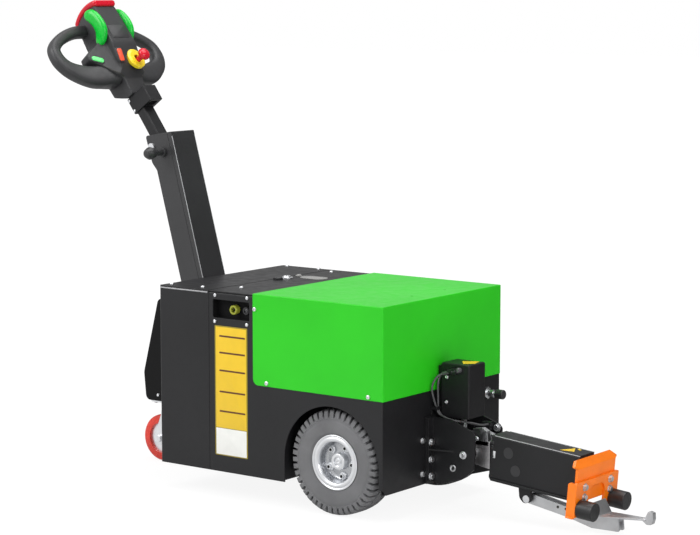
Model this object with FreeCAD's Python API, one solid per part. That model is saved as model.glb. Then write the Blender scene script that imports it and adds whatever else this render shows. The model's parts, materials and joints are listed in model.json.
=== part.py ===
import FreeCAD, Part
import math
import os

# Electric tow tug: a walk-behind tractor unit with a battery box body on two driven wheels, a braked
# castor under its nose, a folded steel tiller column, and a lifting tow arm with a coupling hook.
# Millimetres. X runs from the tiller end to the hook, Y across, Z up.
# Sizes are laid out from the body's nose face (X = 0) and from a datum plane just above the floor (Z = 0).
# The whole is centred along X and stood on the floor at the end.

# ---------------------------------------------------------------- driving dimensions
body_length = 695.0
body_width = 498.0
body_top = 512.0
floor_z = -5.0               # the floor, below the datum plane
skirt_height = 60.0          # lower edge of the front panels
pan_height = 64.0            # underside of the floor pan
low_edge = 78.0              # lower edge of the panels behind the wheels
skin = 3.0                   # panel sheet
fold = 5.0                   # outside radius of a fold in the panel sheet
seam = 1.0                   # gap between neighbouring panels
wrap_length = 162.0          # side returns of the nose shell
rim_flange = 28.0            # inward flange along the panels' top edge
end_chamfer = 14.0           # cut lower corners of the end panel

hood_start = 304.0
hood_bottom = 290.0
hood_skin = 2.0
hood_lift = 1.0              # gap between the body's rim and the hood's roof
hood_corner = 16.0           # rounded lower front corner of the hood's sides
hood_fold = 2.5
hood_holes = [(639.0, -54.0), (639.0, 86.0)]
hood_hole_radius = 3.5

window_x = 233.5             # socket window, middle
window_z = 468.0
window_length = 116.0
window_height = 46.0
window_rounding = 4.0
window_depth = 18.0          # tray floor behind the panel
tray_rim = 8.0
sockets = [(237.0, 11.0, 14.0), (273.0, 9.0, 9.0)]    # x, outer radius, length

wheel_x = 545.0              # drive axle
tyre_radius = 130.0
tyre_width = 85.0
tyre_inset = 4.0             # tyre's outer wall inside the panel's face
tyre_shoulder = 126.5
tyre_bulge = 90.0            # radius where the tyre is widest
bead_radius = 51.0
bead_half = 30.0             # half the rim's seat
hub_out = 12.0               # hub's flange face outside the wheel's middle plane
bead_gap = 0.3               # rim inside the tyre's bead
rim_edge = 66.5              # radius of the rim's flange
hub_radius = 20.0
bolt_circle = 35.0
bolt_count = 5
bolt_radius = 4.0
bolt_turn = math.radians(64.0)    # first bolt, round from the tow end
wheel_shaft = 12.5           # radius of the drive axle's ends
running_gap = 0.05           # radial clearance of a turning fit
hole_gap = 0.3               # radial clearance of a bolt's hole
arch_gap = 11.5              # arch radius over the tyre's
arch_shift = 3.5             # arch centre ahead of the axle, towards the nose
arch_drop = 4.5              # arch centre below the axle
well_gap = 16.0
well_skin = 2.5
well_fold = 20.0

battery_length = 240.0
battery_height = 225.0
battery_gap = 76.0           # battery block to the side panels
axle_tube = 30.0             # radii of the drive unit
axle_flange = 46.0
gearbox = 57.0

castor_x = -170.0            # swivel axis
castor_trail = 36.0
castor_radius = 62.5
castor_width = 36.0
castor_tread = 13.0          # thickness of the castor's tyre
castor_plate_height = 165.0  # top of the castor's plate
castor_plate = 6.0
castor_crown = 22.0          # plate's underside to the fork's crown
castor_pin = 6.0
kingpin = 12.0
fork_gap = 5.0               # wheel to fork leg
fork_skin = 4.0

nose_skin = 5.0
nose_reach = 228.0           # nose face to the front of the castor's deck
nose_flange = 26.0
column_width = 90.0
column_skin = 3.0
column_depth = 76.0
column_length = 486.0
column_gap = 0.3             # column inside the nose bracket
column_lean = math.radians(15.6)
column_foot = (-5.5, 413.5)
cover_return = 14.0          # front cover's returns along the column's cheeks
cover_seam = 1.2             # groove beside them

arm_lean = math.radians(36.0)
pivot_along = 462.0          # tiller hinge: up the column from its foot
pivot_across = 76.1          # tiller hinge: towards the handle from the column's front
pivot_radius = 6.0
tube_width = 40.0
tube_depth = 29.0
tube_skin = 3.0
index_radius = 40.0          # index holes about the tiller hinge
index_pin = 4.0
index_steps = (-24, 0, 12, 24, 36)

arm_mid = 333.0              # tube's middle plane, measured along arm_n
clamp_low = 912.0            # places up the tiller arm, along arm_u
clamp_high = 956.5
head_low = 957.5
head_high = 1216.0
head_back = 288.0            # heights along arm_n
head_face = 378.0
head_half = 37.0
ear_half = 107.0             # the head's side shoulders
grip_mid = 305.0

cheek_outer = 61.0
cheek_skin = 5.0
strip_thickness = 8.0
strip_width = 44.0
strip_top = 228.0
lift_reach = 101.0           # end panel to the tow arm's hinge
lift_z = 146.0
lift_radius = 8.0
knuckle_half = 28.0
lever_half = 6.0
lever_reach = 39.0           # hinge to the lift rod's eye
lever_rise = 4.1
rod_radius = 8.0
eye_radius = 5.0
eye_boss = 11.0
eye_gap = 0.6

case_low = 226.0
case_high = 358.0
case_standoff = 20.0         # end panel to the actuator case
case_length = 80.0
case_half = 35.0
case_skin = 3.0

arm_pitch = math.radians(5.0)
arm_from_hinge = 55.0        # tow arm's hinge to the arm's rear face
arm_rear_z = 94.0            # top of the arm's base at its rear
arm_length = 243.0
arm_height = 104.0
arm_half = 33.0
arm_skin = 3.0
arm_base = 6.0
arm_wall = 6.0

hook_along = 104.2           # hook's hinge: along the arm from its rear face
hook_drop = 32.0             # hook's hinge below the base's top
hook_pin_radius = 5.0
hook_half = 12.5
hook_skin = 4.0

guide_along = 266.0          # rear face of the upper guide piece
guide_skin = 6.0
guide_half = 85.0
coupling_half = 95.0
coupling_skin = 6.0
coupling_wing = 23.0         # depth of the wings
coupling_top = 57.0          # heights from the arm's base
coupling_low = -25.0
coupling_arch = 36.0         # half the arch that the hook passes through
coupling_bolts = [(y, up) for y in (-57.5, 57.5) for up in (18.5, 42.5)]
coupling_bolt_radius = 4.5
bumper_y = 73.0
bumper_up = -6.2
bumper_radius = 22.0
bumper_length = 42.0

cable_radius = 2.5

# ---------------------------------------------------------------- derived places
half = body_width / 2
rim_z = body_top - skin
axle_z = tyre_radius + floor_z
arch_x = wheel_x - arch_shift
arch_z = axle_z - arch_drop
arch_radius = tyre_radius + arch_gap
lift_x = body_length + lift_reach
eye_x = lift_x - lever_reach
eye_z = lift_z + lever_rise
arm_start = lift_x + arm_from_hinge
strip_x = body_length
flange_x = body_length + strip_thickness
case_start = body_length + case_standoff
case_end = case_start + case_length
tyre_y = half - tyre_inset - tyre_width / 2


def vec(x, y, z):
    return FreeCAD.Vector(x, y, z)


# ---------------------------------------------------------------- drawing helpers
def along_y(y):
    """Places a side view (x, z) in the plane at y."""
    return lambda a, b: vec(a, y, b)


def along_x(x):
    """Places an end view (y, z) in the plane at x."""
    return lambda a, b: vec(x, a, b)


def along_z(z):
    """Places a plan (x, y) in the plane at z."""
    return lambda a, b: vec(a, b, z)


def corner_arc(before, corner, after):
    """Start, middle and end of the arc that rounds a corner (a, b, radius)."""
    a, b, radius = corner
    to_before = (before[0] - a, before[1] - b)
    to_after = (after[0] - a, after[1] - b)
    long_before = math.hypot(*to_before)
    long_after = math.hypot(*to_after)
    u = (to_before[0] / long_before, to_before[1] / long_before)
    v = (to_after[0] / long_after, to_after[1] / long_after)
    half_angle = math.acos(max(-1.0, min(1.0, u[0] * v[0] + u[1] * v[1]))) / 2
    reach = radius / math.tan(half_angle)
    middle = (u[0] + v[0], u[1] + v[1])
    size = math.hypot(*middle)
    middle = (middle[0] / size, middle[1] / size)
    depth = radius / math.sin(half_angle) - radius
    start = (a + u[0] * reach, b + u[1] * reach)
    end = (a + v[0] * reach, b + v[1] * reach)
    return start, (a + middle[0] * depth, b + middle[1] * depth), end


def outline(corners, place):
    """Closed wire through corners (a, b) or (a, b, rounding radius)."""
    stretches = []
    for index, corner in enumerate(corners):
        if len(corner) == 3 and corner[2] > 0:
            before = corners[index - 1]
            after = corners[(index + 1) % len(corners)]
            stretches.append(corner_arc(before, corner, after))
        else:
            stretches.append((corner[:2],))
    edges = []
    for index, stretch in enumerate(stretches):
        last = stretches[index - 1][-1]
        if math.dist(last, stretch[0]) > 1e-6:
            edges.append(Part.LineSegment(place(*last), place(*stretch[0])).toShape())
        if len(stretch) == 3:
            edges.append(Part.Arc(*(place(*point) for point in stretch)).toShape())
    return Part.Wire(edges)


def slab(corners, place, thickness):
    """Plate of the given outline, thickened by the vector."""
    return Part.Face(outline(corners, place)).extrude(thickness)


def block(low, high):
    size = [h - l for l, h in zip(low, high)]
    return Part.makeBox(*size, vec(*low))


def turned(profile, origin, axis, radial):
    """Solid of revolution; its profile's corners are (along the axis, radius, rounding)."""
    place = lambda a, b: origin + axis * a + radial * b
    return Part.Face(outline(profile, place)).revolve(origin, axis, 360)


def rod(start, end, radius):
    axis = end - start
    return Part.makeCylinder(radius, axis.Length, start, axis)


def folded(path, thickness, bend):
    """Outline of a sheet folded along path; the sheet lies to the left of the path."""
    normals = []
    for (a0, b0), (a1, b1) in zip(path, path[1:]):
        long = math.hypot(a1 - a0, b1 - b0)
        normals.append((-(b1 - b0) / long, (a1 - a0) / long))
    outer = []
    inner = []
    for index, (a, b) in enumerate(path):
        left = normals[max(index - 1, 0)]
        right = normals[min(index, len(normals) - 1)]
        grow = thickness / (1 + left[0] * right[0] + left[1] * right[1])
        shifted = (a + (left[0] + right[0]) * grow, b + (left[1] + right[1]) * grow)
        turn = left[0] * right[1] - left[1] * right[0]
        if index in (0, len(path) - 1) or abs(turn) < 1e-6:
            outer.append((a, b))
            inner.append(shifted)
        elif turn > 0:
            outer.append((a, b, bend))
            inner.append((*shifted, max(bend - thickness, 0.5)))
        else:
            outer.append((a, b, max(bend - thickness, 0.5)))
            inner.append((*shifted, bend))
    return outer + inner[::-1]


def mirrored(shape):
    return shape.mirror(vec(0, 0, 0), vec(0, 1, 0))


def joined(shapes):
    return shapes[0].multiFuse(shapes[1:]).removeSplitter()


def chosen(shape, test):
    """Edges whose middle point passes the test."""
    return [e for e in shape.Edges if test(e.valueAt((e.FirstParameter + e.LastParameter) / 2), e)]


# ---------------------------------------------------------------- body panels
def nose_shell():
    path = [(wrap_length, half), (0, half), (0, -half), (wrap_length, -half)]
    plan = folded(path, skin, fold)
    return slab(plan, along_z(skirt_height), vec(0, 0, rim_z - skirt_height))


def top_plate(start, end, rounding):
    corners = [(start, -half, rounding), (end, -half), (end, half), (start, half, rounding)]
    return slab(corners, along_z(rim_z), vec(0, 0, skin))


def arch_tool():
    """What the wheel arch takes out of a side panel."""
    y = -half - 1
    depth = vec(0, skin + 2, 0)
    legs = slab([(arch_x - arch_radius, 0), (arch_x - arch_radius, arch_z), (arch_x + arch_radius, arch_z),
                 (arch_x + arch_radius, 0)], along_y(y), depth)
    return legs.fuse(rod(vec(arch_x, y, arch_z), vec(arch_x, y, arch_z) + depth, arch_radius))


def side_panel():
    """Left panel from the nose shell back to the end panel, with its flange, arch and low rear strip."""
    start = wrap_length + seam
    end = body_length - skin
    path = [(-half + rim_flange, rim_z), (-half, rim_z), (-half, skirt_height)]
    panel = slab(folded(path, skin, fold), along_x(start), vec(end - start, 0, 0))
    low_rear = block((arch_x, -half - 1, 0), (end + 1, -half + skin + 1, low_edge))
    return panel.cut(arch_tool()).cut(low_rear)


def window_corners(margin=0.0):
    a = window_length / 2 + margin
    b = window_height / 2 + margin
    r = window_rounding
    return [(window_x - a, window_z - b, r), (window_x + a, window_z - b, r),
            (window_x + a, window_z + b, r), (window_x - a, window_z + b, r)]


def socket_tray():
    """Recessed tray behind the window in the left panel, with its round sockets."""
    y = -half + skin
    outer = slab(window_corners(tray_rim), along_y(y), vec(0, window_depth + skin, 0))
    tray = outer.cut(slab(window_corners(), along_y(y), vec(0, window_depth, 0)))
    floor_y = y + window_depth
    for x, radius, length in sockets:
        centre = vec(x, floor_y, window_z)
        ring = Part.makeCylinder(radius, length, centre, vec(0, -1, 0))
        bore = Part.makeCylinder(radius * 0.62, length, centre, vec(0, -1, 0))
        tray = tray.fuse(ring.cut(bore))
    return tray.removeSplitter()


def end_panel():
    cut = end_chamfer
    corners = [(-half, rim_z), (half, rim_z), (half, low_edge), (half - cut, pan_height),
               (-half + cut, pan_height), (-half, low_edge)]
    return slab(corners, along_x(body_length - skin), vec(skin, 0, 0))


def hood():
    """Folded battery hood: roof, two sides and end wall, standing hood_skin outside the body."""
    outer_y = half + hood_skin
    roof = body_top + hood_lift + hood_skin
    end = body_length + hood_skin
    outer = block((hood_start, -outer_y, hood_bottom), (end, outer_y, roof))
    outer = outer.makeFillet(hood_fold, chosen(outer, lambda p, e: (
        p.z > roof - 1 and p.x > hood_start + 1) or (p.x > end - 1 and abs(p.y) > half)))
    inner = block((hood_start - 1, -half, hood_bottom - 1), (body_length, half, roof - hood_skin))
    shell = outer.cut(inner)
    for side in (-1, 1):
        y = side * (half + hood_skin / 2)
        corner = chosen(shell, lambda p, e: abs(p.x - hood_start) < 1 and abs(p.z - hood_bottom) < 1
                        and abs(p.y - y) < hood_skin)
        shell = shell.makeFillet(hood_corner, corner)
    for x, y in hood_holes:
        shell = shell.cut(rod(vec(x, y, roof - 10), vec(x, y, roof + 1), hood_hole_radius))
    return shell


def well_box(inset):
    """Low and high corners of the left wheel well, drawn in by inset from its outside."""
    reach = tyre_radius + well_gap + well_skin
    inner_y = -tyre_y + tyre_width / 2 + well_gap
    high_z = axle_z + reach
    return ((wheel_x - reach + inset, -half + skin, pan_height),
            (wheel_x + reach - 4 - inset, inner_y - inset, high_z - inset))


def wheel_well():
    low, high = well_box(0)
    inner_low, inner_high = well_box(well_skin)
    shell = block(low, high)
    shell = shell.makeFillet(well_fold, chosen(shell, lambda p, e: p.z > high[2] - 1 and
                                               (abs(p.x - low[0]) < 1 or abs(p.x - high[0]) < 1)))
    room = block((inner_low[0], inner_low[1] - 1, inner_low[2] - 1), inner_high)
    room = room.makeFillet(well_fold - well_skin, chosen(room, lambda p, e: p.z > inner_high[2] - 1 and (
        abs(p.x - inner_low[0]) < 1 or abs(p.x - inner_high[0]) < 1)))
    tube_hole = rod(vec(wheel_x, high[1] - 30, axle_z), vec(wheel_x, high[1] + 30, axle_z), axle_tube + 4)
    return shell.cut(room).cut(tube_hole)


def floor_pan():
    low, high = well_box(0)
    inner = half - skin
    front = skin
    back = body_length - skin
    left_notch = [(low[0], -inner), (low[0], high[1]), (high[0], high[1]), (high[0], -inner)]
    corners = [(front, -inner, skin), *left_notch, (back, -inner), (back, inner)]
    corners += [(a, -b) for a, b in left_notch[::-1]]
    corners.append((front, inner, skin))
    return slab(corners, along_z(pan_height), vec(0, 0, skin))


def battery_block():
    """Both batteries as one plain block on the floor pan, ahead of the wheel wells."""
    low, _ = well_box(0)
    z = pan_height + skin
    y = half - battery_gap
    return block((low[0] - 10 - battery_length, -y, z), (low[0] - 10, y, z + battery_height))


def drive_unit():
    """Axle tube with its gearbox and motor as one plain block between the wheel wells."""
    _, high = well_box(0)
    inner_y = -high[1]
    hub_face = tyre_y - 20
    r = axle_tube
    profile = [(-hub_face, 0), (-hub_face, r, 2), (-inner_y, r), (-inner_y, axle_flange, 3),
               (-inner_y + 14, axle_flange, 3), (-inner_y + 30, gearbox, 8), (inner_y - 30, gearbox, 8),
               (inner_y - 14, axle_flange, 3), (inner_y, axle_flange, 3), (inner_y, r), (hub_face, r, 2),
               (hub_face, 0)]
    body = turned(profile, vec(wheel_x, 0, axle_z), vec(0, 1, 0), vec(0, 0, 1))
    reach = tyre_y + hub_out + 20
    return body.fuse(rod(vec(wheel_x, -reach, axle_z), vec(wheel_x, reach, axle_z), wheel_shaft))


# ---------------------------------------------------------------- drive wheels
def wheel_turned(profile):
    """Turns a profile about the left wheel's axis; along is measured outward from its middle plane."""
    return turned(profile, vec(wheel_x, -tyre_y, axle_z), vec(0, -1, 0), vec(0, 0, 1))


def wheel_bolts(near, far, radius):
    """Five rods round the hub, between two distances outward from the wheel's middle plane."""
    rods = []
    for step in range(bolt_count):
        angle = bolt_turn + step * 2 * math.pi / bolt_count
        x = wheel_x + bolt_circle * math.cos(angle)
        z = axle_z + bolt_circle * math.sin(angle)
        rods.append(rod(vec(x, -tyre_y - near, z), vec(x, -tyre_y - far, z), radius))
    return rods


def drive_tyre():
    w = tyre_width / 2
    half_section = [(-bead_half, bead_radius), (-bead_half - 3, rim_edge - 4), (-bead_half - 3, rim_edge + 2, 2),
                    (-w, tyre_bulge, 14), (-w + 1.5, tyre_shoulder, 4), (-16, tyre_radius, 30)]
    return wheel_turned(half_section + [(-c[0], *c[1:]) for c in half_section[::-1]])


def drive_rim():
    """Pressed rim: seat and flanges for the tyre and a dish with holes for the hub's bolts."""
    edge = rim_edge
    bead = bead_radius - bead_gap
    seat = bead_half + 0.5
    out = bead_half + 7
    lip = [(-out, edge - 4), (-out, edge, 2), (-out + 3.5, edge, 1), (-out + 3.5, edge - 5, 2), (-seat, bead, 2)]
    back = [(-a, *rest) for a, *rest in lip[::-1]]
    face = hub_out
    dish = [(seat + 2.5, bead - 3, 4), (face + 13, 45, 4), (face + 3, 38, 5), (face + 3, 22), (face, 22),
            (face, 41, 4), (face + 8, bead - 3), (-seat - 2.5, bead - 3, 2)]
    rim = wheel_turned(lip + back + dish)
    for hole in wheel_bolts(face - 5, face + 12, bolt_radius + hole_gap):
        rim = rim.cut(hole)
    return rim


def wheel_hub():
    bore = wheel_shaft + running_gap
    face = hub_out
    hub = wheel_turned([(-18, bore), (-18, 27, 2), (face - 6, 27, 2), (face - 6, 44, 1), (face, 44), (face, 21),
                        (face + 16, hub_radius, 2), (face + 16, bore)])
    return joined([hub, *wheel_bolts(face - 0.5, face + 8, bolt_radius)])


# ---------------------------------------------------------------- castor
castor_axle = vec(castor_x - castor_trail, 0, castor_radius + floor_z)
fork_top = castor_plate_height - castor_plate - castor_crown
leg_in = castor_width / 2 + fork_gap
leg_out = leg_in + fork_skin


def castor_turned(profile, z):
    """Turns a profile (height above z, radius) about the castor's swivel axis."""
    return turned(profile, vec(castor_x, 0, z), vec(0, 0, 1), vec(1, 0, 0))


def castor_head():
    """Mounting plate with its ball race and kingpin."""
    z = castor_plate_height - castor_plate
    plate = slab([(castor_x - 52, -42, 8), (castor_x + 52, -42, 8), (castor_x + 52, 42, 8),
                  (castor_x - 52, 42, 8)], along_z(z), vec(0, 0, castor_plate))
    low = -castor_crown - 5
    race = castor_turned([(0, 0), (0, 34, 2), (-9, 31, 2), (-9, kingpin), (low, kingpin), (low, 0)], z)
    return plate.fuse(race)


def castor_fork():
    """Swivelling fork: a dished crown over two legs with round axle bosses."""
    ax, az = castor_axle.x, castor_axle.z
    side = [(castor_x + 27, fork_top, 6), (castor_x + 27, fork_top - 12, 10), (ax + 19, az - 4, 18),
            (ax, az - 24, 16), (ax - 19, az - 4, 16), (castor_x - 27, fork_top - 12, 10),
            (castor_x - 27, fork_top, 6)]
    legs = slab(side, along_y(-leg_out), vec(0, 2 * leg_out, 0))
    legs = legs.cut(block((ax - 200, -leg_in, -10), (ax + 200, leg_in, fork_top - 4)))
    bore = kingpin + running_gap
    crown = castor_turned([(0, bore), (0, 36, 3), (-4, 36, 1), (-4, bore)], fork_top)
    raised = castor_turned([(8, bore), (8, 29, 3), (0, 33, 2), (0, bore)], fork_top)
    kingpin_hole = rod(vec(castor_x, 0, fork_top - 30), vec(castor_x, 0, fork_top + 30), bore)
    reach = vec(0, leg_out + 1, 0)
    axle_hole = rod(castor_axle - reach, castor_axle + reach, castor_pin + hole_gap)
    return joined([legs, crown, raised]).cut(kingpin_hole).cut(axle_hole)


def castor_axle_pin():
    """Axle bolt with a head on each side of the fork."""
    reach = vec(0, leg_out + 0.3, 0)
    head = vec(0, 6, 0)
    pin = rod(castor_axle - reach - vec(0, 1, 0), castor_axle + reach + vec(0, 1, 0), castor_pin)
    return joined([pin, rod(castor_axle + reach, castor_axle + reach + head, 9.5),
                   rod(castor_axle - reach, castor_axle - reach - head, 9.5)])


def castor_wheel_turned(profile):
    return turned(profile, castor_axle, vec(0, 1, 0), vec(0, 0, 1))


def castor_tyre():
    w = castor_width / 2
    r = castor_radius
    seat = r - castor_tread
    return castor_wheel_turned([(-w, seat), (-w, r - 4, 5), (-w + 8, r, 8), (w - 8, r, 8), (w, r - 4, 5), (w, seat)])


def castor_rim():
    w = castor_width / 2
    r = castor_radius - castor_tread
    half_section = [(-w - 4, castor_pin + running_gap), (-w - 4, 14, 1), (-w + 6, 16, 2), (-w + 6, r - 6, 3),
                    (-w, r - 4, 1), (-w, r)]
    return castor_wheel_turned(half_section + [(-c[0], *c[1:]) for c in half_section[::-1]])


# ---------------------------------------------------------------- nose bracket and tiller column
def nose_bracket():
    """Folded bracket on the nose: two cheeks, a front web, the castor's deck and two flanges."""
    low = castor_plate_height
    out = column_width / 2 + column_gap + nose_skin
    room_y = out - nose_skin
    front = -nose_reach
    profile = [(0, low), (front, low, 15), (front - 7, low + 74, 30), (front + 44, low + 269, 12),
               (front + 124, low + 321), (front + 178, low + 305), (0, low + 290)]
    solid = slab(profile, along_y(-out), vec(0, 2 * out, 0))
    inner = [(1, low + nose_skin), (front + 6, low + nose_skin, 10), (front - 1.5, low + 74, 26),
             (front + 48, low + 266, 9), (front + 78, low + 355), (1, low + 355)]
    shell = solid.cut(slab(inner, along_y(-room_y), vec(0, 2 * room_y, 0)))
    flanges = []
    for side in (-1, 1):
        edge = side * (out + nose_flange)
        flanges.append(slab([(side * out, low + 35), (edge, low + 35, 6), (edge, low + 275, 6),
                             (side * out, low + 275)], along_x(-nose_skin), vec(nose_skin, 0, 0)))
    return joined([shell, *flanges])


column_up = vec(-math.sin(column_lean), 0, math.cos(column_lean))
column_out = vec(-math.cos(column_lean), 0, -math.sin(column_lean))
cheek_y = column_width / 2


def on_column(along, y, across):
    """A place given up the column from its foot, across, and from its front face towards the handle."""
    return vec(column_foot[0], y, column_foot[1]) + column_up * along + column_out * across


def column_side(y):
    return lambda along, across: on_column(along, y, across)


pivot = on_column(pivot_along, 0, pivot_across)
pivot_x = pivot.x
pivot_z = pivot.z


def index_place(degrees):
    """Centre of an index hole, counted from the plunger's place at rest."""
    angle = math.radians(degrees) - math.radians(17.5)
    return (pivot_x + index_radius * math.cos(angle), pivot_z + index_radius * math.sin(angle))


def tiller_column():
    """Folded channel, open to the front, whose cheeks widen into the ears of the tiller hinge."""
    high = column_length
    deep = column_depth
    side = [(0, 0), (high, 0, 3), (high + 9, 90, 6), (high - 64, 87, 20), (high - 87, deep, 12), (0, deep)]
    solid = slab(side, column_side(-cheek_y), vec(0, column_width, 0))
    room_y = cheek_y - column_skin
    room = slab([(-10, column_skin), (high + 20, column_skin), (high + 20, 120), (high - 92, 120),
                 (high - 92, deep - column_skin), (-10, deep - column_skin)], column_side(-room_y),
                vec(0, 2 * room_y, 0))
    column = solid.cut(room)
    groove = slab([(-10, cover_return), (high + 20, cover_return), (high + 20, cover_return + cover_seam),
                   (-10, cover_return + cover_seam)], column_side(-cheek_y - 1), vec(0, 1 + cover_seam, 0))
    column = column.cut(groove).cut(mirrored(groove))
    reach = vec(0, 60, 0)
    bolt = rod(pivot - reach, pivot + reach, pivot_radius)
    x, z = index_place(0)
    plunger = rod(vec(x, -60, z), vec(x, 0, z), 8 + hole_gap)
    return column.cut(bolt).cut(plunger)


def index_plunger():
    """Pull knob with its threaded sleeve on the column's left cheek."""
    x, z = index_place(0)
    skin_in = -column_skin
    profile = [(skin_in, 0), (skin_in, 8), (0, 8), (0, 13), (7, 13, 1), (7, 8), (24, 8), (24, 5), (34, 5),
               (36, 13, 4), (52, 17, 8), (66, 10, 7), (67, 0)]
    knob = turned(profile, vec(x, -cheek_y, z), vec(0, -1, 0), vec(1, 0, 0))
    pin = rod(vec(x, -cheek_y + column_skin - 1, z), vec(x, -cheek_y + column_skin + 4, z), index_pin - 0.5)
    return knob.fuse(pin)


def tiller_pin():
    reach = vec(0, cheek_y, 0)
    head = vec(0, 5, 0)
    return joined([rod(pivot - reach, pivot + reach, pivot_radius), rod(pivot + reach, pivot + reach + head, 10),
                   rod(pivot - reach, pivot - reach - head, 10)])


# ---------------------------------------------------------------- tiller arm and head
arm_u = vec(-math.sin(arm_lean), 0, math.cos(arm_lean))
arm_n = vec(math.cos(arm_lean), 0, math.sin(arm_lean))
# The arm's frame starts where the hinge lies at u = 799.3 and n = 328.4.
arm_origin = pivot - arm_u * 799.3 - arm_n * 328.4


def in_arm(u, y, n):
    """A place given along the arm's axis (u), across (y) and towards its face (n)."""
    return arm_origin + arm_u * u + vec(0, y, 0) + arm_n * n


def arm_side(y):
    return lambda u, n: in_arm(u, y, n)


def arm_section(u):
    return lambda y, n: in_arm(u, y, n)


def arm_face(n):
    return lambda u, y: in_arm(u, y, n)


def arm_box(low, high, rounding=0.0):
    """Box laid out in the arm's own directions, from (u, y, n) to (u, y, n)."""
    corners = [(low[1], low[2], rounding), (high[1], low[2], rounding), (high[1], high[2], rounding),
               (low[1], high[2], rounding)]
    return slab(corners, arm_section(low[0]), arm_u * (high[0] - low[0]))


def tiller_arm():
    """Rectangular tube on its hinge boss, with the index sector beside its left wall."""
    w = tube_width / 2
    d = tube_depth / 2
    foot = 780.0
    tube = arm_box((foot, -w, arm_mid - d), (clamp_high, w, arm_mid + d), 4)
    tube = tube.cut(arm_box((foot - 1, -w + tube_skin, arm_mid - d + tube_skin),
                            (clamp_high + 1, w - tube_skin, arm_mid + d - tube_skin), 2))
    inner = cheek_y - column_skin
    boss_end = vec(0, inner - hole_gap, 0)
    boss = rod(pivot - boss_end, pivot + boss_end, pivot_radius + 5)
    y = -inner + 5
    px, pz = pivot_x, pivot_z
    sector = slab([(px - 22, pz + 18, 6), (px - 8, pz - 20, 10), (px + 20, pz - 47, 12), (px + 49, pz - 14, 12),
                   (px + 44, pz + 22, 10), (px + 6, pz + 30, 6)], along_y(y), vec(0, 5, 0))
    web = slab([(px - 12, pz + 8), (px - 4, pz - 12), (px + 14, pz - 8), (px + 10, pz + 16)], along_y(y),
               vec(0, -w - y + 0.5, 0))
    arm = joined([tube, boss, sector, web])
    arm = arm.cut(rod(pivot - boss_end, pivot + boss_end, pivot_radius + running_gap))
    for degrees in index_steps:
        x, z = index_place(degrees)
        arm = arm.cut(rod(vec(x, y - 1, z), vec(x, y + 6, z), index_pin))
    return arm


def head_clamp():
    """Block that clamps the head to the tube's top end."""
    w = tube_width / 2 + hole_gap
    d = tube_depth / 2 + hole_gap
    clamp = arm_box((clamp_low, -24, arm_mid - 20), (clamp_high, 24, head_face + 5), 2)
    clamp = clamp.cut(arm_box((clamp_low - 1, -w, arm_mid - d), (clamp_high + 1, w, arm_mid + d), 4))
    socket = slab([(-13, head_face - 24, 3), (13, head_face - 24, 3), (13, head_face - 4, 3), (-13, head_face - 4, 3)],
                  arm_section(clamp_low), arm_u * 12)
    return clamp.cut(socket)


def head_end(n_low, n_high, lift):
    """Start, middle and end of the arc that rounds the head's top end, lifted along u."""
    middle = (n_low + n_high) / 2
    return [(head_high - 9 + lift, n_low), (head_high + 8 + lift, middle), (head_high + 1 + lift, n_high)]


def arc_slab(arc, back, y_half):
    """Slab across y between an arc (u, n) and a second outline run back from its end to its start."""
    place = arm_side(-y_half)
    points = [place(*point) for point in arc]
    corners = [place(*point) for point in back]
    edges = [Part.Arc(*points).toShape()]
    run = [points[-1], *corners, points[0]]
    edges += [Part.LineSegment(a, b).toShape() for a, b in zip(run, run[1:])]
    return Part.Face(Part.Wire(edges)).extrude(vec(0, 2 * y_half, 0))


def head_trunk_plan(margin=0.0):
    """Plan of the head's trunk (u, y), grown sideways by margin."""
    left = [(head_low - 20, -30 - margin), (1000, -34 - margin, 20), (1060, -45 - margin, 40),
            (1140, -45 - margin, 60), (head_high + 20, -head_half + 1 - margin)]
    return left + [(corner[0], -corner[1], *corner[2:]) for corner in left[::-1]]


def tiller_head():
    """Moulded head: a trunk drawn in towards its top and a face that spreads into two low shoulders."""
    back = [(head_high - 20, head_face), (1098, head_face, 60), (1044, 366, 50), (1004, 350, 20),
            (head_low, 344, 4), (head_low, 320), (968, 304, 8), (983, 284, 6), (1010, head_back - 3, 10),
            (1180, head_back + 2)]
    trunk = slab([*back, (head_high - 26, head_back + 3)], arm_side(-60), vec(0, 120, 0))
    arc = head_end(head_back + 6, head_face, 0)
    trunk = trunk.fuse(arc_slab(arc, [(head_high - 40, head_face), (head_high - 40, head_back + 3)], 60))
    trunk = trunk.removeSplitter().common(slab(head_trunk_plan(), arm_face(250), arm_n * 160))
    left = [(1150, -20), (1146, -44, 12), (1122, -56, 14), (1092, -ear_half + 2, 9), (1076, -ear_half, 7),
            (1052, -78, 20), (1018, -52, 14), (1004, -30, 6), (1004, -20)]
    plan = left + [(corner[0], -corner[1], *corner[2:]) for corner in left[::-1]]
    shoulder_top = [(-ear_half - 5, 300), (-ear_half - 5, 330), (-72, 340, 60), (-24, 369.5, 30), (24, 369.5, 30),
                    (72, 340, 60), (ear_half + 5, 330), (ear_half + 5, 300)]
    shoulders = slab(plan, arm_face(300), arm_n * 90).common(
        slab(shoulder_top, arm_section(990), arm_u * 180))
    fall = [(1170, 300), (1170, head_face), (1098, head_face, 60), (1044, 367, 50), (1004, 350.5, 20), (990, 348),
            (990, 300)]
    shoulders = shoulders.common(slab(fall, arm_side(-ear_half - 5), vec(0, 2 * ear_half + 10, 0)))
    return joined([trunk, shoulders])


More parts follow.
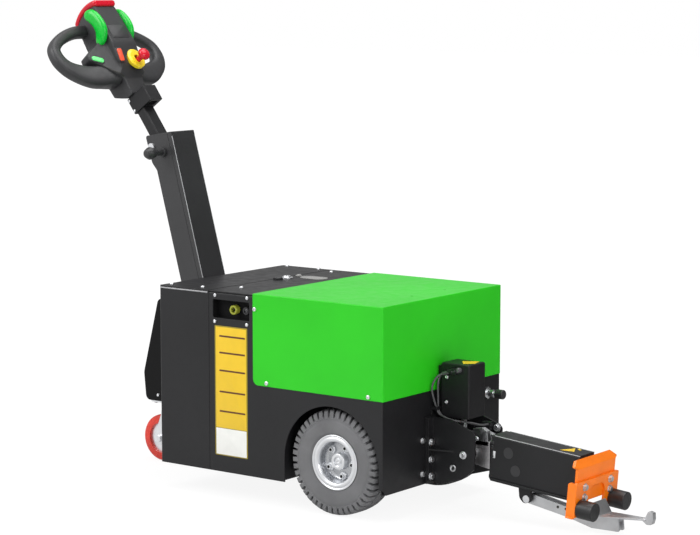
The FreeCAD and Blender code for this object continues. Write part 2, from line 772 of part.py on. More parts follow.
# Stations of the left grip: u, y, half width in its plane, lowest and highest n, rounding of the section, and
# how much further out the front edge stands.
grip_stations = [
    (1183, -34, 16, 289, 321, 15, 0), (1179, -86, 15.5, 290, 320, 14, 0), (1160, -143, 15.5, 290, 320, 14, 0),
    (1131, -185, 16, 290, 320, 14, 0), (1098, -191, 18, 289, 321, 15, 1), (1071, -177, 20.5, 289, 322, 15, 3),
    (1053, -150, 24, 288, 324, 15, 6), (1038, -111, 28, 288, 330, 14, 9), (1034, -74, 29, 287, 338, 13, 9),
    (1030, -40, 29, 286, 346, 13, 5),
]


def between(before, start, end, after, share):
    """Value a share of the way from start to end, on the cubic whose slopes follow the neighbours."""
    rise = (end - before) / 2
    fall = (after - start) / 2
    square = share * share
    cube = square * share
    return ((2 * cube - 3 * square + 1) * start + (cube - 2 * square + share) * rise
            + (3 * square - 2 * cube) * end + (cube - square) * fall)


def grip_line(steps):
    """The grip's stations with steps - 1 more between each two."""
    ends = [grip_stations[0], *grip_stations, grip_stations[-1]]
    line = []
    for four in zip(ends, ends[1:], ends[2:], ends[3:]):
        for step in range(steps):
            line.append([between(*values, step / steps) for values in zip(*four)])
    return [*line, grip_stations[-1]]


def grip_section(before, station, after):
    """Rounded section of the left grip, square to the line from the station before to the one after."""
    u, y, wide, low, high, rounding, lean = station
    run = (after[0] - before[0], after[1] - before[1])
    long = math.hypot(*run)
    side = (-run[1] / long, run[0] / long)
    return outline([(-wide, low, rounding), (wide, low, rounding), (wide + lean, high, rounding),
                    (-wide, high, rounding)], lambda a, n: in_arm(u + side[0] * a, y + side[1] * a, n))


def hand_grip():
    """Left closed grip: one moulded ring, slim at its top and broad where it comes back to the head."""
    line = grip_line(3)
    sections = [grip_section(*three) for three in zip([line[0], *line], line, [*line[1:], line[-1]])]
    ring = Part.makeLoft(sections, True, False)
    return max(ring.cut(tiller_head()).Solids, key=lambda solid: solid.Volume)


def thumb_lever():
    """Left butterfly lever on the head's upper flank: a plate with a raised lobe at each end, on a boss."""
    side = [(1206, 342, 5), (1207, 366, 12), (1192, 386, 14), (1143, 389, 16), (1118, 372, 12), (1115, 346, 8),
            (1130, 331, 6), (1146, 331, 6), (1157, 350, 8), (1173, 352, 8), (1190, 340, 6)]
    plate = slab(side, arm_side(-61), vec(0, 15, 0))
    plate = plate.makeFillet(3, chosen(plate, lambda p, e: p.y < -60.5))
    outer = slab([(1100, -30), (1220, -30), (1220, -61), (1185, -60, 40), (1100, -50)], arm_face(300), arm_n * 110)
    plate = plate.common(outer)
    boss = rod(in_arm(1160, -47, 364), in_arm(1160, -40, 364), 11)
    return plate.fuse(boss).cut(tiller_head())


def belly_button():
    """Red reversing pad that caps the head's end."""
    inner = head_end(head_back + 4, head_face + 2, 0.4)
    outer = head_end(head_back + 4, head_face + 5, 9.5)
    place = arm_side(-head_half)
    edges = [Part.Arc(*(place(*point) for point in inner)).toShape(),
             Part.LineSegment(place(*inner[-1]), place(*outer[-1])).toShape(),
             Part.Arc(*(place(*point) for point in outer[::-1])).toShape(),
             Part.LineSegment(place(*outer[0]), place(*inner[0])).toShape()]
    pad = Part.Face(Part.Wire(edges)).extrude(vec(0, 2 * head_half, 0))
    return pad.makeFillet(3, chosen(pad, lambda p, e: (p - in_arm(0, 0, 0)).dot(arm_u) > head_high + 6
                                    and abs(p.y) > head_half - 0.5))


def stop_collar():
    """Yellow collar of the emergency stop."""
    collar = turned([(-4, 9), (-4, 29), (4, 29, 1), (7, 22, 1), (7, 9)], stop_place(), arm_n, arm_u)
    return collar.cut(tiller_head())


def stop_button():
    """Red mushroom head of the emergency stop on its stem."""
    button = turned([(-4, 0), (-4, 8.7), (14, 8.7), (14, 19, 2), (26, 20, 7), (32, 8, 6), (33, 0)], stop_place(),
                    arm_n, arm_u)
    return button.cut(tiller_head())


def stop_place():
    return in_arm(1049, 20, 369.6)


def rocker_switch():
    """Rocker switch on the head's face, in its raised frame."""
    frame = slab([(1042, -33, 4), (1084, -33, 4), (1084, -9, 4), (1042, -9, 4)], arm_face(360), arm_n * 15)
    key = slab([(1046, -30, 4), (1080, -30, 4), (1080, -12, 4), (1046, -12, 4)], arm_face(374), arm_n * 5)
    return joined([frame, key]).cut(tiller_head())


# ---------------------------------------------------------------- hitch on the body's end
def hitch_strip():
    """Left mounting strip screwed to the end panel."""
    outer = -cheek_outer - 19
    inner = outer + strip_width
    corners = [(outer, pan_height + 1, 3), (inner, pan_height + 1, 3), (inner, strip_top, 3), (outer, strip_top, 3)]
    return slab(corners, along_x(strip_x), vec(strip_thickness, 0, 0))


def cable_clip():
    """Clip on the top of the left strip that holds both cables."""
    skin = 1.7
    y_low = cable_rest[1] - cable_radius - 5.5
    y_high = cable_rest[1] + 3 * cable_radius + 2.6
    x, z = strip_x + clip_reach, cable_rest[2]
    outer_x = x + cable_radius + 4
    leaf = block((strip_x, y_low, strip_top - 8), (strip_x + 2.5, y_high, z + 4))
    band = block((strip_x, y_low, z - 4), (outer_x, y_high, z + 4))
    room = block((strip_x + 2.5, y_low + skin, z - 5), (outer_x - skin, y_high - skin, z + 5))
    return joined([leaf, band]).cut(room)


def hitch_cheek():
    """Left cheek: a folded plate with its flange on the strip and a small gusset across the fold."""
    out = cheek_outer
    low = lift_z - 74
    high = lift_z + 81
    side = [(flange_x, low), (flange_x + 18, low - 7, 20), (lift_x, lift_z - 59, 20), (lift_x + 30, lift_z - 34, 6),
            (lift_x + 33, lift_z + 50, 8), (lift_x + 25, lift_z + 59, 6), (flange_x + 54, high, 6),
            (flange_x, high)]
    cheek = slab(side, along_y(-out), vec(0, cheek_skin, 0))
    flange = slab([(-out + 1, low), (-out + 1, high), (-out - 19, high, 4), (-out - 19, low, 4)],
                  along_x(flange_x), vec(cheek_skin, 0, 0))
    gusset = slab([(flange_x + 2, -out + 1), (flange_x + 2, -out - 17), (flange_x + 69, -out + 1)],
                  along_z(lift_z + 2), vec(0, 0, 4))
    cheek = joined([cheek, flange, gusset])
    cheek = cheek.cut(rod(vec(lift_x, -out - 1, lift_z), vec(lift_x, 0, lift_z), lift_radius))
    spare = vec(lift_x - 29, 0, lift_z - 36)
    return cheek.cut(rod(spare - vec(0, out + 1, 0), spare - vec(0, out - cheek_skin - 1, 0), 6))


def limit_switch():
    """Switch on the right cheek's inner face where the cables end."""
    inner = cheek_outer - cheek_skin
    body = block((lift_x - 14, switch_face, lift_z + 44), (lift_x + 10, inner + 0.5, lift_z + 64))
    return body.makeFillet(2, chosen(body, lambda p, e: p.y < switch_face + 0.5))


def lift_pin():
    """Hinge bolt through both cheeks, with spacers up to the knuckle."""
    out = cheek_outer
    inner = out - cheek_skin
    places = [(-out - 9, -out, 13), (-out - 1, out + 1, lift_radius), (out, out + 9, 13)]
    places += [(-inner, -knuckle_half - 0.5, 13), (knuckle_half + 0.5, inner, 13)]
    return joined([rod(vec(lift_x, start, lift_z), vec(lift_x, end, lift_z), r) for start, end, r in places])


def knuckle():
    """Machined block that carries the tow arm on the hinge bolt and takes the lift rod's push."""
    low = in_beam(0, 0, 4)
    high = in_beam(0, 0, arm_height - 14)
    x, z = lift_x, lift_z
    body = slab([(low.x, low.z, 3), (high.x, high.z, 3), (x + 32, high.z, 8), (x - 6, z + 26, 16), (x - 19, z, 16),
                 (x, z - 20, 16), (x + 38, low.z, 3)], along_y(-knuckle_half), vec(0, 2 * knuckle_half, 0))
    lug = slab([(x - 5, z + 22), (x - 3, z + 41, 3), (x + 14, z + 48, 4), (x + 35, z + 40, 3), (x + 38, z + 20)],
               along_y(-knuckle_half), vec(0, 14, 0))
    lever = slab([(x, z + 14), (eye_x, eye_z + eye_boss), (eye_x, eye_z - eye_boss), (x, z - 14)],
                 along_y(-lever_half), vec(0, 2 * lever_half, 0))
    eye = rod(vec(eye_x, -lever_half, eye_z), vec(eye_x, lever_half, eye_z), eye_boss)
    eye_pin = rod(vec(eye_x, -19, eye_z), vec(eye_x, 19, eye_z), eye_radius)
    bore = rod(vec(x, -60, z), vec(x, 60, z), lift_radius + running_gap)
    return joined([body, lug, mirrored(lug), lever, eye, eye_pin]).cut(bore)


def lift_rod():
    """Actuator rod with a forked end over the knuckle's lever."""
    reach = eye_boss
    fork = slab([(eye_x - reach, eye_z - reach, 8), (eye_x + reach, eye_z - reach, 8),
                 (eye_x + reach, eye_z + 38, 4), (eye_x - reach, eye_z + 38, 4)], along_y(-17), vec(0, 34, 0))
    slot = block((eye_x - 20, -lever_half - 5, eye_z - 20), (eye_x + 20, lever_half + 5, eye_z + 24))
    eye = rod(vec(eye_x, -30, eye_z), vec(eye_x, 30, eye_z), eye_radius + eye_gap)
    stem = rod(vec(eye_x, 0, eye_z + 36), vec(eye_x, 0, eye_z + 150), rod_radius)
    return fork.cut(slot).cut(eye).fuse(stem)


def actuator_case():
    """Closed case of the lift actuator, folded from sheet, open below around the rod, with a cable gland."""
    outer = block((case_start, -case_half, case_low), (case_end, case_half, case_high))
    outer = outer.makeFillet(4, chosen(outer, lambda p, e: p.x > case_end - 1 or (
        p.z > case_high - 1 and abs(p.y) > case_half - 1)))
    room = case_half - case_skin
    case = outer.cut(block((case_start + case_skin, -room, case_low - 1),
                           (case_end - case_skin, room, case_high - case_skin)))
    start = vec(case_start + 23, -case_half - 8, case_high - 19)
    socket = block((start.x + 12, start.y - 5, start.z - 5), (start.x + 26, -case_half + 1, start.z + 9))
    gland = turned([(0, 3), (0, 5), (6, 5), (6, 6.5), (14, 6.5, 1), (14, 0), (3, 0), (3, 3)], start, vec(1, 0, 0),
                   vec(0, 0, 1))
    return joined([case, socket, gland])


def case_bracket():
    """Channel that stands the actuator case off the hood's end wall."""
    start = body_length + hood_skin
    path = [(case_start, 26), (start, 26), (start, -26), (case_start, -26)]
    return slab(folded(path, 4, 6), along_z(case_low + 6), vec(0, 0, case_high - case_low - 16))


def lift_actuator():
    """Actuator tube inside the case; the rod slides in it."""
    tube = rod(vec(eye_x, 0, case_low + 14), vec(eye_x, 0, case_high - case_skin), 26)
    lug = block((case_start + case_skin, -14, case_low + 36), (eye_x - 10, 14, case_low + 96))
    bore = rod(vec(eye_x, 0, case_low), vec(eye_x, 0, case_low + 94), rod_radius + running_gap)
    return tube.fuse(lug).cut(bore)


def release_knob():
    """Spring plunger on the end panel's far side."""
    origin = vec(body_length, half - 63, 250)
    return turned([(0, 0), (0, 13, 2), (9, 13, 2), (9, 9), (26, 9, 1), (26, 6), (32, 6), (33, 12, 3), (56, 12, 4),
                   (57, 0)], origin, vec(1, 0, 0), vec(0, 0, 1))


# ---------------------------------------------------------------- tow arm
def in_beam(along, across, up):
    """A place on the pitched tow arm: along it from its rear face, across, and up from its base's top."""
    return vec(arm_start, across, arm_rear_z) + beam_axis * along + beam_up * up


def beam_section(along):
    return lambda y, up: in_beam(along, y, up)


def beam_side(y):
    return lambda along, up: in_beam(along, y, up)


def beam_plan(up):
    return lambda along, y: in_beam(along, y, up)


beam_axis = vec(math.cos(arm_pitch), 0, -math.sin(arm_pitch))
beam_up = vec(math.sin(arm_pitch), 0, math.cos(arm_pitch))
hook_place = in_beam(hook_along, 0, -hook_drop)
hook_x = hook_place.x
hook_z = hook_place.z


def arm_cover():
    """Folded cover of the tow arm, open below where it stands on the base."""
    path = [(arm_half, 0), (arm_half, arm_height), (-arm_half, arm_height), (-arm_half, 0)]
    return slab(folded(path, arm_skin, 5), beam_section(0), beam_axis * arm_length)


def arm_base_plate():
    """Base of the tow arm with its end walls and the ears that carry the hook lever."""
    wide = arm_half + 4
    end = arm_length - arm_wall
    base = slab([(-14, -12, 4), (8, -wide), (end, -wide, 6), (end, wide, 6), (8, wide), (-14, 12, 4)],
                beam_plan(-arm_base), beam_up * arm_base)
    w = arm_half - arm_skin
    wall = [(-w, -1), (w, -1), (w, arm_height - arm_skin, 2), (-w, arm_height - arm_skin, 2)]
    rear = slab(wall, beam_section(0), beam_axis * arm_wall)
    front = slab(wall, beam_section(end), beam_axis * arm_wall)
    ears = []
    for side in (-1, 1):
        y = side * (hook_half + 7.5) - 2.5
        ears.append(slab([(hook_x - 24, hook_z + 30), (hook_x - 21, hook_z, 14), (hook_x - 8, hook_z - 13, 12),
                          (hook_x + 12, hook_z - 6, 9), (hook_x + 10, hook_z + 28)], along_y(y), vec(0, 5, 0)))
    arm = joined([base, rear, front, *ears])
    reach = vec(0, 60, 0)
    return arm.cut(rod(hook_place - reach, hook_place + reach, hook_pin_radius))


def hook_pin():
    out = hook_half + 10
    pin = rod(hook_place - vec(0, out, 0), hook_place + vec(0, out, 0), hook_pin_radius)
    heads = [rod(hook_place + vec(0, side * out, 0), hook_place + vec(0, side * (out + 4.5), 0), 9)
             for side in (-1, 1)]
    return joined([pin, *heads])


def hook_side(corners):
    """Corners given from the hook's hinge, as corners of a side view."""
    return [(hook_x + corner[0], hook_z + corner[1], *corner[2:]) for corner in corners]


def hook_lever():
    """Channel-shaped lever under the arm that carries a bent plate with an upturned hook."""
    y = hook_half
    side = hook_side([(-14, 6, 9), (-4, -12, 9), (108, -31, 40), (172, -47, 16), (246, -46, 4), (243, -14, 1),
                      (160, -14, 15), (108, -7, 30), (0, 13, 12)])
    solid = slab(side, along_y(-y), vec(0, 2 * y, 0))
    inner = y - hook_skin
    walls = solid.cut(block((hook_x - 40, -inner, -20), (hook_x + 400, inner, hook_z + 60)))
    path = hook_side([(312, -7), (202, -12), (184, 18)])
    plate = slab(folded(path, hook_skin, 6), along_y(-30), vec(0, 60, 0))
    x = hook_x
    plan = [(x + 150, -30), (x + 185, -30, 4), (x + 215, -27, 8), (x + 305, -9, 5), (x + 312, -9), (x + 312, 9),
            (x + 305, 9, 5), (x + 215, 27, 8), (x + 185, 30, 4), (x + 150, 30)]
    plate = plate.common(slab(plan, along_z(0), vec(0, 0, 120)))
    tip = slab(hook_side([(302, -11), (314, -20, 6), (327, -19, 5), (331, -6), (330, 9, 3), (318, 12, 3),
                          (311, -3, 6), (302, -8)]), along_y(-7), vec(0, 14, 0))
    bridge = block((hook_x + 206, -y, hook_z - 26), (hook_x + 238, y, hook_z - 13))
    boss = rod(hook_place - vec(0, y, 0), hook_place + vec(0, y, 0), 9)
    reach = vec(0, 60, 0)
    lever = joined([walls, plate, tip, bridge, boss])
    return lever.cut(rod(hook_place - reach, hook_place + reach, hook_pin_radius + running_gap))


def coupling_plate():
    """Orange guide: an upper piece with a leaning lip, and a lower plate with the hook's arch and two wings."""
    rear = guide_along
    front = rear + guide_skin
    g = guide_half
    profile = folded([(front, 5), (front, 88), (front - 12, 106)], guide_skin, 8)
    guide = slab(profile, beam_side(-coupling_half), vec(0, 2 * coupling_half, 0))
    outline_across = [(-g, 5, 2), (g, 5, 2), (g, 87, 2), (g + 10, 92, 2), (g - 14, 108, 4), (14 - g, 108, 4),
                      (-g - 10, 92, 2), (-g, 87, 2)]
    guide = guide.common(slab(outline_across, beam_section(rear - 40), beam_axis * 60))
    c = coupling_half
    low = coupling_low
    arch = coupling_arch
    face = slab([(-c, low), (-arch, low, 4), (-arch, 40, 20), (arch, 40, 20), (arch, low, 4), (c, low),
                 (c, coupling_top, 5), (-c, coupling_top, 5)], beam_section(front), beam_axis * coupling_skin)
    out = front + coupling_skin
    wing = slab([(out, coupling_top - 3, 4), (out - coupling_wing, coupling_top - 1, 6), (out - coupling_wing, low - 3, 5),
                 (out, low, 3)], beam_side(-c), vec(0, coupling_skin, 0))
    foot = slab([(-c - 6, low - 3, 2), (-c + coupling_skin, low - 3), (-c + coupling_skin, low + 3), (-c - 4, low + 1, 2)],
                beam_section(out - coupling_wing + 2), beam_axis * (coupling_wing - 5))
    plate = joined([guide, face, wing, mirrored(wing), foot, mirrored(foot)])
    reach = vec(40, 0, 0)
    for y, up in coupling_bolts:
        centre = in_beam(front, y, up)
        plate = plate.cut(rod(centre - reach, centre + reach, coupling_bolt_radius))
    return plate


def coupling_bracket():
    """Block that bolts the guide plate to the arm's front wall."""
    w = arm_half - 6
    corners = [(arm_length, 24), (guide_along, 24), (guide_along, 74), (arm_length, 74)]
    return slab(corners, beam_side(-w), vec(0, 2 * w, 0))


def bumper():
    """Left rubber buffer."""
    origin = in_beam(guide_along + guide_skin + coupling_skin, -bumper_y, bumper_up)
    return turned([(0, 0), (0, bumper_radius, 2), (bumper_length, bumper_radius, 2), (bumper_length, 0)], origin,
                  beam_axis, beam_up)


# ---------------------------------------------------------------- cables
# Both cables lie in the clip on the left strip, pass under the actuator case and end in the switch.
cable_rest = (706.5, -43.5, 247.0)
clip_reach = 11.5            # strip's back to the cables' middle in the clip
switch_face = 38.0
cable_starts = [(738.0, -43.0, 339.0), (706.0, -26.0, 322.0)]
cable_routes = {
    "cable_case": [cable_starts[0], (722, -44, 338), (708, -50, 324), (705, -60, 298), (706, -54, 270), cable_rest,
                   (711, -43, 228), (731, -42, 217.5), (756, -34, 214), (777, -12, 210.5), (793, 13, 203),
                   (793, switch_face, 203)],
    "cable_body": [cable_starts[1], (706, -36, 318), (706, -39, 296), (706.5, -38, 270), (706.5, -38, 247),
                   (713, -38, 232), (732, -41, 222.5), (757, -29, 218.5), (781, -6, 214.5), (801, 13, 205.5),
                   (801, switch_face, 205.5)],
}


def cable(points):
    """Tube along straight runs joined by arcs as large as the runs allow, and its bend radii."""
    points = [vec(*point) for point in points]
    runs = [b - a for a, b in zip(points, points[1:])]
    edges = []
    radii = []
    last = points[0]
    for corner, before, after in zip(points[1:], runs, runs[1:]):
        turn = before.getAngle(after)
        reach = 0.45 * min(before.Length, after.Length)
        radius = reach / math.tan(turn / 2)
        start = corner - before.normalize() * reach
        end = corner + vec(after.x, after.y, after.z).normalize() * reach
        inward = (start + end) * 0.5 - corner
        centre_reach = math.hypot(radius, reach)
        middle = corner + inward.normalize() * (centre_reach - radius)
        edges.append(Part.LineSegment(last, start).toShape())
        edges.append(Part.Arc(start, middle, end).toShape())
        radii.append(radius)
        last = end
    edges.append(Part.LineSegment(last, points[-1]).toShape())
    path = Part.Wire(edges)
    section = Part.Wire(Part.makeCircle(cable_radius, points[0], points[1] - points[0]))
    tube = path.makePipeShell([section], True, False)
    return tube, path.Length, radii


# ---------------------------------------------------------------- pieces of the whole
def pieces():
    made = {
        "nose_shell": nose_shell(),
        "top_plate_front": top_plate(0, wrap_length, fold),
        "top_plate_rear": top_plate(wrap_length + seam, hood_start - 0.5, 0),
        "end_panel": end_panel(),
        "floor_pan": floor_pan(),
        "battery_block": battery_block(),
        "drive_unit": drive_unit(),
        "hood": hood(),
        "socket_tray": socket_tray(),
        "nose_bracket": nose_bracket(),
        "tiller_column": tiller_column(),
        "index_plunger": index_plunger(),
        "tiller_pin": tiller_pin(),
        "castor_head": castor_head(),
        "castor_fork": castor_fork(),
        "castor_axle": castor_axle_pin(),
        "castor_tyre": castor_tyre(),
        "castor_rim": castor_rim(),
        "tiller_arm": tiller_arm(),
        "head_clamp": head_clamp(),
        "tiller_head": tiller_head(),
        "belly_button": belly_button(),
        "stop_collar": stop_collar(),
        "stop_button": stop_button(),
        "rocker_switch": rocker_switch(),
        "lift_pin": lift_pin(),
        "knuckle": knuckle(),
        "lift_rod": lift_rod(),
        "actuator_case": actuator_case(),
        "case_bracket": case_bracket(),
        "lift_actuator": lift_actuator(),
        "release_knob": release_knob(),
        "arm_cover": arm_cover(),
        "arm_base": arm_base_plate(),
        "coupling_bracket": coupling_bracket(),
        "coupling_plate": coupling_plate(),
        "hook_pin": hook_pin(),
        "hook_lever": hook_lever(),
    }
    pairs = {"side_panel": side_panel, "wheel_well": wheel_well, "drive_tyre": drive_tyre,
             "drive_rim": drive_rim, "wheel_hub": wheel_hub, "hand_grip": hand_grip,
             "thumb_lever": thumb_lever, "hitch_strip": hitch_strip, "hitch_cheek": hitch_cheek,
             "bumper": bumper}
    for name, make in pairs.items():
        shape = make()
        made[name + "_left"] = shape
        made[name + "_right"] = mirrored(shape)
    window = slab(window_corners(), along_y(-half - 1), vec(0, skin + 2, 0))
    made["side_panel_left"] = made["side_panel_left"].cut(window)
    made["hitch_strip_left"] = joined([made["hitch_strip_left"], cable_clip()])
    made["hitch_cheek_right"] = joined([made["hitch_cheek_right"], limit_switch()])
    for name, points in cable_routes.items():
        made[name], length, radii = cable(points)
        print(f"{name} length {length:.1f} section x length {math.pi * cable_radius ** 2 * length / 1000:.2f} "
              f"volume {made[name].Volume / 1000:.2f} cm3, radii", [round(radius) for radius in radii])
    return made


def export(made):
    whole = Part.makeCompound(list(made.values())).optimalBoundingBox()
    centring = vec(-(whole.XMin + whole.XMax) / 2, 0, -floor_z)
    print("centred by", round(centring.x, 4), "box", [round(value, 2) for value in (
        whole.XMin, whole.XMax, whole.YMin, whole.YMax, whole.ZMin, whole.ZMax)])
    os.makedirs("parts", exist_ok=True)
    for name, shape in made.items():
        shape = shape.translated(centring)
        solids = shape.Solids
        print(f"{name:20s} solids {len(solids)} valid {shape.isValid()} volume {shape.Volume / 1000:.1f} cm3")
        (solids[0] if len(solids) == 1 else shape).exportStep(f"parts/{name}.step")


export(pieces())
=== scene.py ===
# %% [markdown]
# # A walk-behind electric tow tug
#
# The tug is a steel box on two driven tyres, with a leaning tiller at one end and a lifting tow arm at the
# other. Its structure comes ready made as a fixed frame of named nodes on moving bodies. This lesson gives
# each node its finish, and adds what a maker puts on last: tyres with their tread, moulded grips, screws,
# plates and switches. Every piece sits at the origin, with its place in its mesh, in metres.

import json
import math

import bmesh
import bpy
import numpy as np
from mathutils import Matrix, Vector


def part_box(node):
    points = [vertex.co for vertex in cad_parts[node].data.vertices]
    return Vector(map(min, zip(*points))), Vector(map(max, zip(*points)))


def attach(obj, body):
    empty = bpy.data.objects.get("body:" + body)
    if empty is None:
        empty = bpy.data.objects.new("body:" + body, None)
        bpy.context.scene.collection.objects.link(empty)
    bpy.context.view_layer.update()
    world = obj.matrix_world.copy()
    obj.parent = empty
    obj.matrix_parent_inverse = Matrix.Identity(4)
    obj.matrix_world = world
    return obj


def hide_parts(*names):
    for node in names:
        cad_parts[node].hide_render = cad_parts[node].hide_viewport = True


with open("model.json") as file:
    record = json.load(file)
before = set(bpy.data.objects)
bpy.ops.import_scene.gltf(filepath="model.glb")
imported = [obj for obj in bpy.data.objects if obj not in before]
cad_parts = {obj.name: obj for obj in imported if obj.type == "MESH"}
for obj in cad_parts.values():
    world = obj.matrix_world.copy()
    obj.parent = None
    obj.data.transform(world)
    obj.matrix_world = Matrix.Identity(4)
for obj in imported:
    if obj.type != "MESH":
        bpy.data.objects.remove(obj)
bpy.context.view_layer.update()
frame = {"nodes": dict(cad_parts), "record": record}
nodes = frame["nodes"]
skirt = 60  # millimetres from the datum up to the skirt's edge
nose_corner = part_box("nose_shell")[0]
datum = np.array([nose_corner.x, 0, nose_corner.z - skirt / 1000])

# %% [markdown]
# Sizes are easiest to think about in millimetres from a datum, as on the maker's drawing: the body's nose face
# along X and a level 60 mm below the skirt's edge for heights. Some pieces lean, so they get directions of
# their own: the tiller's arm and head lean back by 36 degrees, the column by 15.6, and the tow arm points 5
# degrees down. Each has a start and three unit directions, kept together under one name.

# %% Places and directions
def leaning(degrees):
    """Directions of a part that leans back by this angle: up the lean, across, and square off its face."""
    turn = math.radians(degrees)
    return np.array([[-math.sin(turn), 0, math.cos(turn)], [0, 1, 0], [math.cos(turn), 0, math.sin(turn)]])


head_ways = leaning(36)
column_ways = leaning(15.6)
dip = math.radians(5)
beam_ways = np.array([[math.cos(dip), 0, -math.sin(dip)], [0, 1, 0], [math.sin(dip), 0, math.cos(dip)]])
column_foot = np.array([-5.5, 0, 413.5])
hinge_up, hinge_back = 462, 76.1  # from the column's foot to the tiller's hinge
below_hinge, behind_hinge = 799.3, 328.4  # from the hinge to where the head's distances start
tiller_hinge = column_foot + hinge_up * column_ways[0] - hinge_back * column_ways[2]
on_column = {"ways": column_ways, "start": column_foot}
head_start = tiller_hinge - below_hinge * head_ways[0] - behind_hinge * head_ways[2]
on_tiller = {"ways": head_ways, "start": head_start}
on_beam = {"ways": beam_ways, "start": np.array([851.0, 0, 94.0])}


def lay(points, ways=np.eye(3), start=(0, 0, 0)):
    """Metres in the shared frame: start plus each local distance times its direction, over a thousand."""
    return (np.asarray(points, float) @ ways + start) / 1000 + datum


print("tiller hinge", tiller_hinge.round(1), "tow arm runs along", beam_ways[0].round(3))

# %% [markdown]
# A surface is a grid of points, and every four neighbours make a quad. Each row is a ring. A tube's ends get a
# flat cap, and a tyre's last row joins its first. Normals are recalculated on the finished mesh, so that all
# faces point outwards.

# %% From grids of points to a piece
into_scene = bpy.context.scene.collection.objects.link


def grid_faces(rows, columns, ring_rows):
    """Corner numbers of the quads between each row, a ring of columns, and the next."""
    row, column = np.meshgrid(np.arange(rows - (not ring_rows)), np.arange(columns), indexing="ij")
    below = (row + 1) % rows
    beside = (column + 1) % columns
    return np.stack([row * columns + column, row * columns + beside, below * columns + beside,
                     below * columns + column], -1).reshape(-1, 4)


def outward(mesh):
    """Turns every face outwards with Blender's own recalculation."""
    shape = bmesh.new()
    shape.from_mesh(mesh)
    bmesh.ops.remove_doubles(shape, verts=shape.verts, dist=1e-7)
    bmesh.ops.recalc_face_normals(shape, faces=shape.faces)
    shape.to_mesh(mesh)
    shape.free()


def build(name, grids, body, slot, finish=None, smooth_under=32, ring_rows=False):
    """Joins closed surfaces, each a grid of rows that are rings, into one piece that rides on a body. Its
    finish is its slot's unless it has its own. Edges under smooth_under degrees are shaded smooth; ring_rows
    joins the last row to the first."""
    points, faces, start = [], [], 0
    for grid in grids:
        rows, columns = grid.shape[:2]
        points.append(grid.reshape(-1, 3))
        faces += (grid_faces(rows, columns, ring_rows) + start).tolist()
        if not ring_rows:
            faces.append(list(range(start, start + columns)))
            faces.append(list(range(start + (rows - 1) * columns, start + rows * columns)))
        start += rows * columns
    mesh = bpy.data.meshes.new(name)
    mesh.from_pydata(np.concatenate(points).tolist(), [], faces)
    outward(mesh)
    mesh.shade_smooth()
    mesh.set_sharp_from_angle(angle=math.radians(smooth_under))
    mesh.materials.append(finish or finishes[slot])
    piece = bpy.data.objects.new(name, mesh)
    into_scene(piece)
    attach(piece, body)
    print(name, "faces", len(mesh.polygons))
    return piece


print("a tube of 3 rings of 4 points has", len(grid_faces(3, 4, False)), "quads")

# %% [markdown]
# The camera stands about six metres off and a little above the tug, and looks along its left side and its tow
# end at once. A long lens keeps the upright edges nearly parallel.

# %% Camera
camera_data = bpy.data.cameras.new("camera")
camera_data.sensor_width = 36
camera_data.lens = 115.63
camera_data.clip_end = 100
camera = bpy.data.objects.new("camera", camera_data)
camera.location = lay((3744.2156, -4442.3025, 1263.9908))
camera.rotation_euler = (math.radians(82.794), 0, math.radians(36.873))
into_scene(camera)
bpy.context.scene.camera = camera
print("camera at", [round(value, 3) for value in camera.location])

# %% [markdown]
# The studio has three soft lamps: a wide one on the left, one overhead and one at the tow end. Wide lamps give
# soft shadows and broad highlights, which suit coated steel.

# %% Soft lamps
def lamp(name, at, aim, size, watts):
    """Square lamp at a place, in metres, turned so that it shines at its aim."""
    data = bpy.data.lights.new(name, "AREA")
    data.energy = watts
    data.size = size
    made = bpy.data.objects.new(name, data)
    made.location = at
    direction = np.array(aim, float) - np.array(at, float)
    made.rotation_euler = (math.acos(-direction[2] / np.linalg.norm(direction)), 0,
                           math.atan2(direction[1], direction[0]) - math.pi / 2)
    into_scene(made)
    print(name, watts, "W, metres across", size)


lamp("key softbox", (-1.9, -2.6, 2.9), (0, 0, 0.4), 2.2, 72)
lamp("top softbox", (0.1, 0.3, 3.4), (0.1, 0, 0.3), 2.6, 74)
lamp("tow end softbox", (3.0, -1.6, 1.7), (0.3, 0, 0.3), 1.8, 42)

# %% [markdown]
# A shader is a net of small sums. These helpers write each in one line: plain arithmetic, which rays see a
# surface directly, a vector's length or slope, a ramp between two values or colours, and a mix of two shaders.

# %% Sums for shaders
def new_node(tree, kind, values=None, **named):
    """Node whose inputs, in order or by name, each get a fixed value or another node's output."""
    made = tree.nodes.new("ShaderNode" + kind)
    for at, value in dict(enumerate(values or ()), **named).items():
        if isinstance(value, bpy.types.NodeSocket):
            tree.links.new(value, made.inputs[at])
        else:
            made.inputs[at].default_value = value
    return made


def number(tree, operation, *values):
    """Output of an arithmetic node; each value is a number or another node's output."""
    made = new_node(tree, "Math", values)
    made.operation = operation
    return made.outputs[0]


def seen_directly(tree):
    """1 for rays that come from the eye, from gloss or through clear pieces, and 0 for the rest."""
    ray = new_node(tree, "LightPath").outputs
    eye_or_gloss = number(tree, "MAXIMUM", ray["Is Camera Ray"], ray["Is Glossy Ray"])
    return number(tree, "MAXIMUM", eye_or_gloss, ray["Is Transmission Ray"])


def measured(tree, operation, vector, along=(0, 0, 0)):
    """A vector's LENGTH, or its DOT_PRODUCT with a fixed one: how far it goes along that."""
    made = new_node(tree, "VectorMath", (vector, along))
    made.operation = operation
    return made.outputs["Value"]


